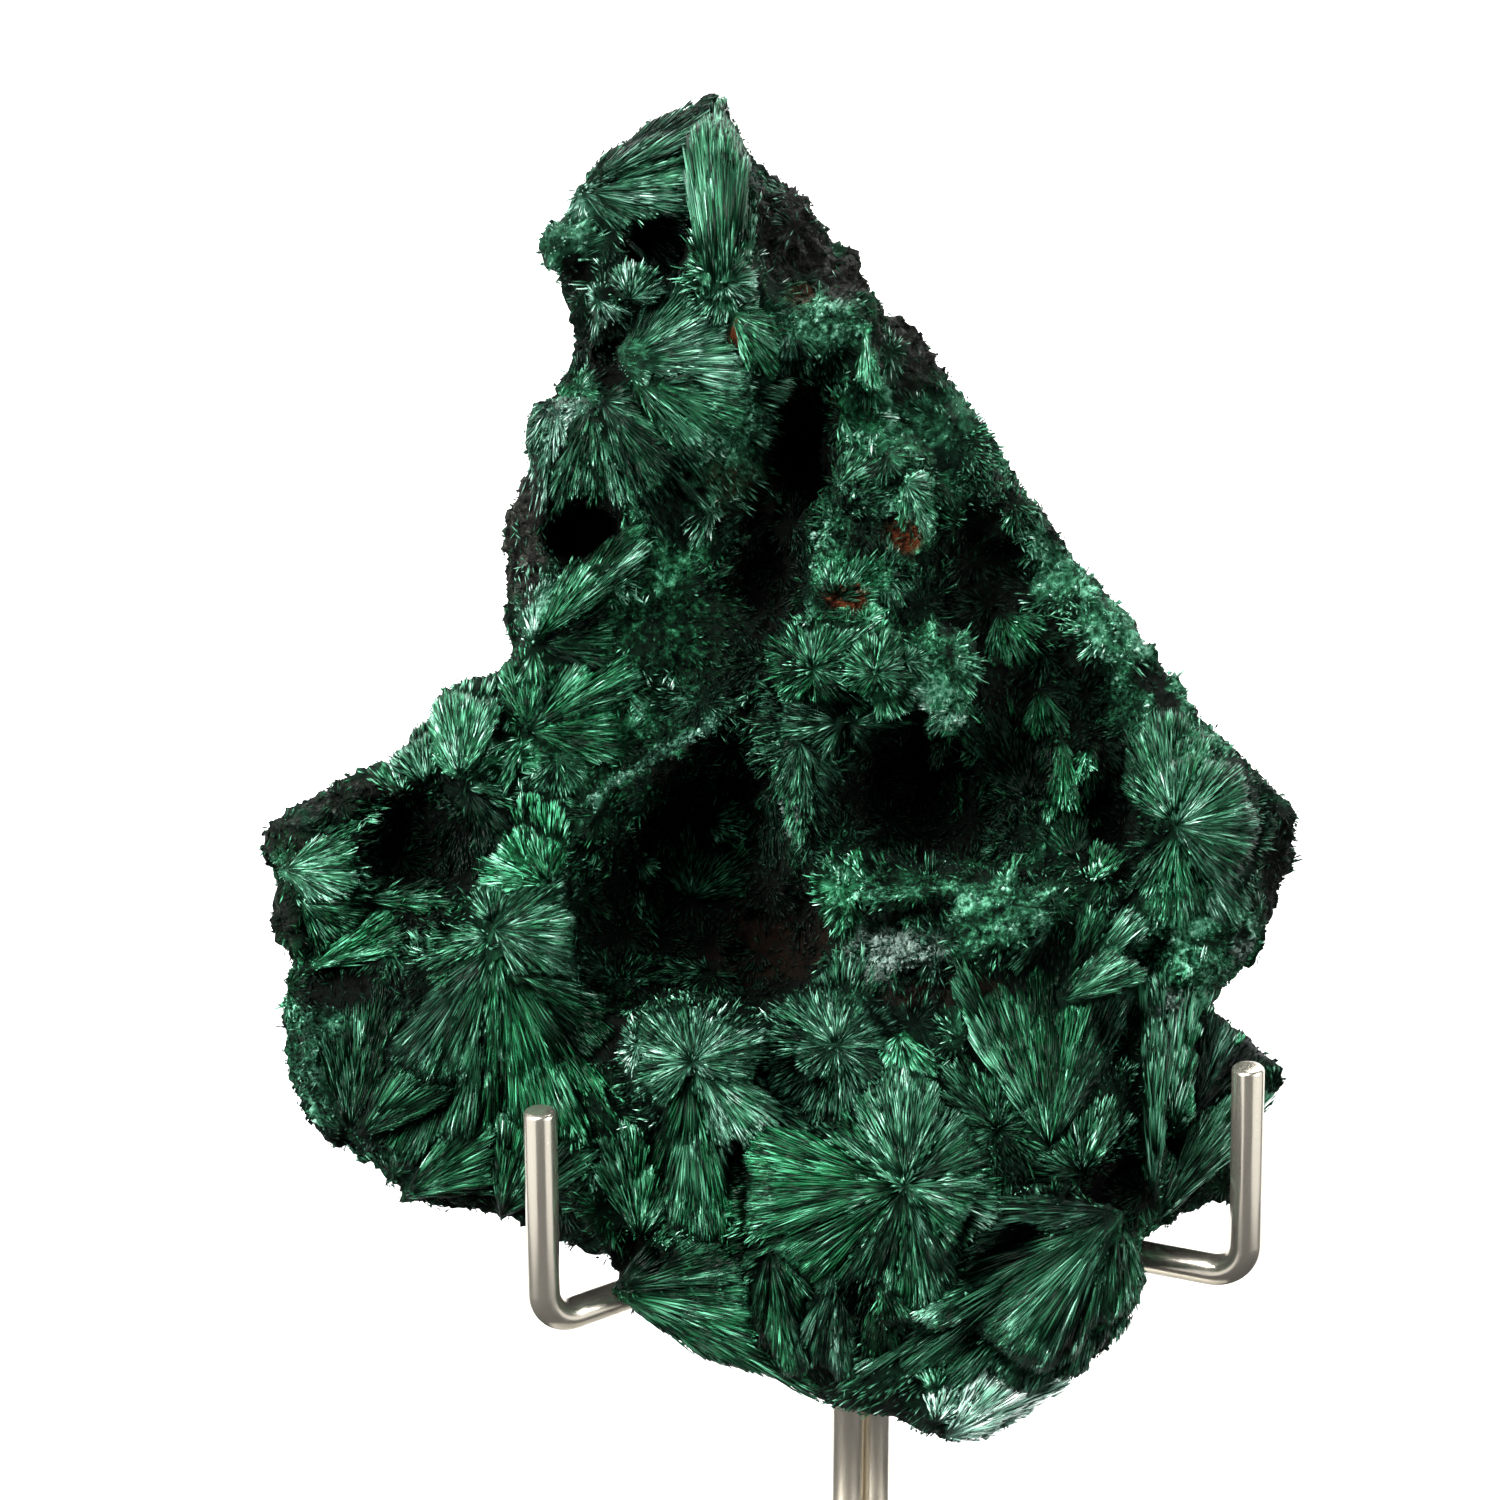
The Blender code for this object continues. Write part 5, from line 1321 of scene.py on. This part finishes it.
def stageMaterial(name, colour, glow):
    material, tree, shader = newMaterial(name)
    shader.inputs["Base Color"].default_value = (*colour, 1)
    shader.inputs["Roughness"].default_value = 0.9
    shader.inputs["Specular IOR Level"].default_value = 0.0
    shader.inputs["Emission Color"].default_value = (1, 1, 1, 1)
    shader.inputs["Emission Strength"].default_value = glow
    return material


def addPanel(name, place, turn, size, glow):
    # a bright panel seen only in the steel
    bpy.ops.mesh.primitive_plane_add(size=size, location=place, rotation=(math.radians(90), 0, math.radians(turn)))
    panel = bpy.context.object
    panel.name = name
    panel.data.materials.append(stageMaterial(name, (0.0, 0.0, 0.0), glow))
    panel.visible_camera = False
    panel.visible_diffuse = False
    panel.visible_transmission = False
    panel.visible_shadow = False


def addStudio():
    bpy.ops.mesh.primitive_circle_add(vertices=96, radius=5.0, fill_type="NGON", location=(0, 0, 0))
    floor = bpy.context.object
    floor.name = "studioFloor"
    floor.data.materials.append(stageMaterial("studioFloor", studio["floorColour"], studio["floorGlow"]))
    bpy.ops.mesh.primitive_cylinder_add(vertices=96, radius=5.0, depth=8.0, end_fill_type="NOTHING", location=(0, 0, 4.0))
    wall = bpy.context.object
    wall.name = "studioWall"
    wall.data.materials.append(stageMaterial("studioWall", (0.0, 0.0, 0.0), 1.0))
    for item in (floor, wall):
        item.visible_diffuse = False
        item.visible_glossy = False
    wall.visible_shadow = False
    addPanel("backPanel", (0, 0.9, 0.6), 0, 3.0, studio["panelGlow"])
    addPanel("leftPanel", (-1.0, -0.45, 0.3), -66, 1.6, studio["sideGlow"])
    addPanel("rightPanel", (1.0, -0.45, 0.3), 66, 1.6, studio["sideGlow"])
    target = (0, 0, 0.08)
    data = bpy.data.lights.new("sunLamp", "SUN")
    data.energy = studio["sunPower"]
    data.angle = math.radians(35)
    sun = bpy.data.objects.new("sunLamp", data)
    bpy.context.scene.collection.objects.link(sun)
    sun.rotation_mode = "QUATERNION"
    sun.rotation_quaternion = Vector((0.35, 0.45, -0.82)).to_track_quat("-Z", "Y")
    addLamp("keyLamp", (-0.55, -0.40, 0.45), target, 0.30, studio["keyPower"])
    addLamp("fillLamp", (0.6, -0.35, 0.30), target, 0.35, studio["fillPower"])
    addLamp("rimLamp", (0.15, 0.5, 0.6), target, 0.5, studio["rimPower"])
    world = bpy.context.scene.world or bpy.data.worlds.new("studio")
    bpy.context.scene.world = world
    world.use_nodes = True
    back = world.node_tree.nodes.get("Background")
    grey = studio["worldGrey"]
    back.inputs[0].default_value = (grey, grey, grey, 1)
    back.inputs[1].default_value = studio["worldStrength"]
    bpy.context.scene.view_settings.view_transform = "Standard"
    bpy.context.scene.view_settings.exposure = studio["exposure"]


addCamera()
addStudio()
body, facts = makeStoneBody()
malachiteColour = makeMalachiteColour()
bodyMaterial = makeBodyMaterial(malachiteColour)
body.data.materials.append(bodyMaterial)
needles = makeNeedles(facts, makeNeedleMaterial(malachiteColour))
grains = makeGrains(facts, bodyMaterial)
for item in [body, grains, *needles]:
    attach(item, "root")
    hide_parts("malachite")
for item, name in makeStand(makeSteelMaterial("wire"), makeSteelMaterial("plate")):
    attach(item, "root")
    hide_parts(name)
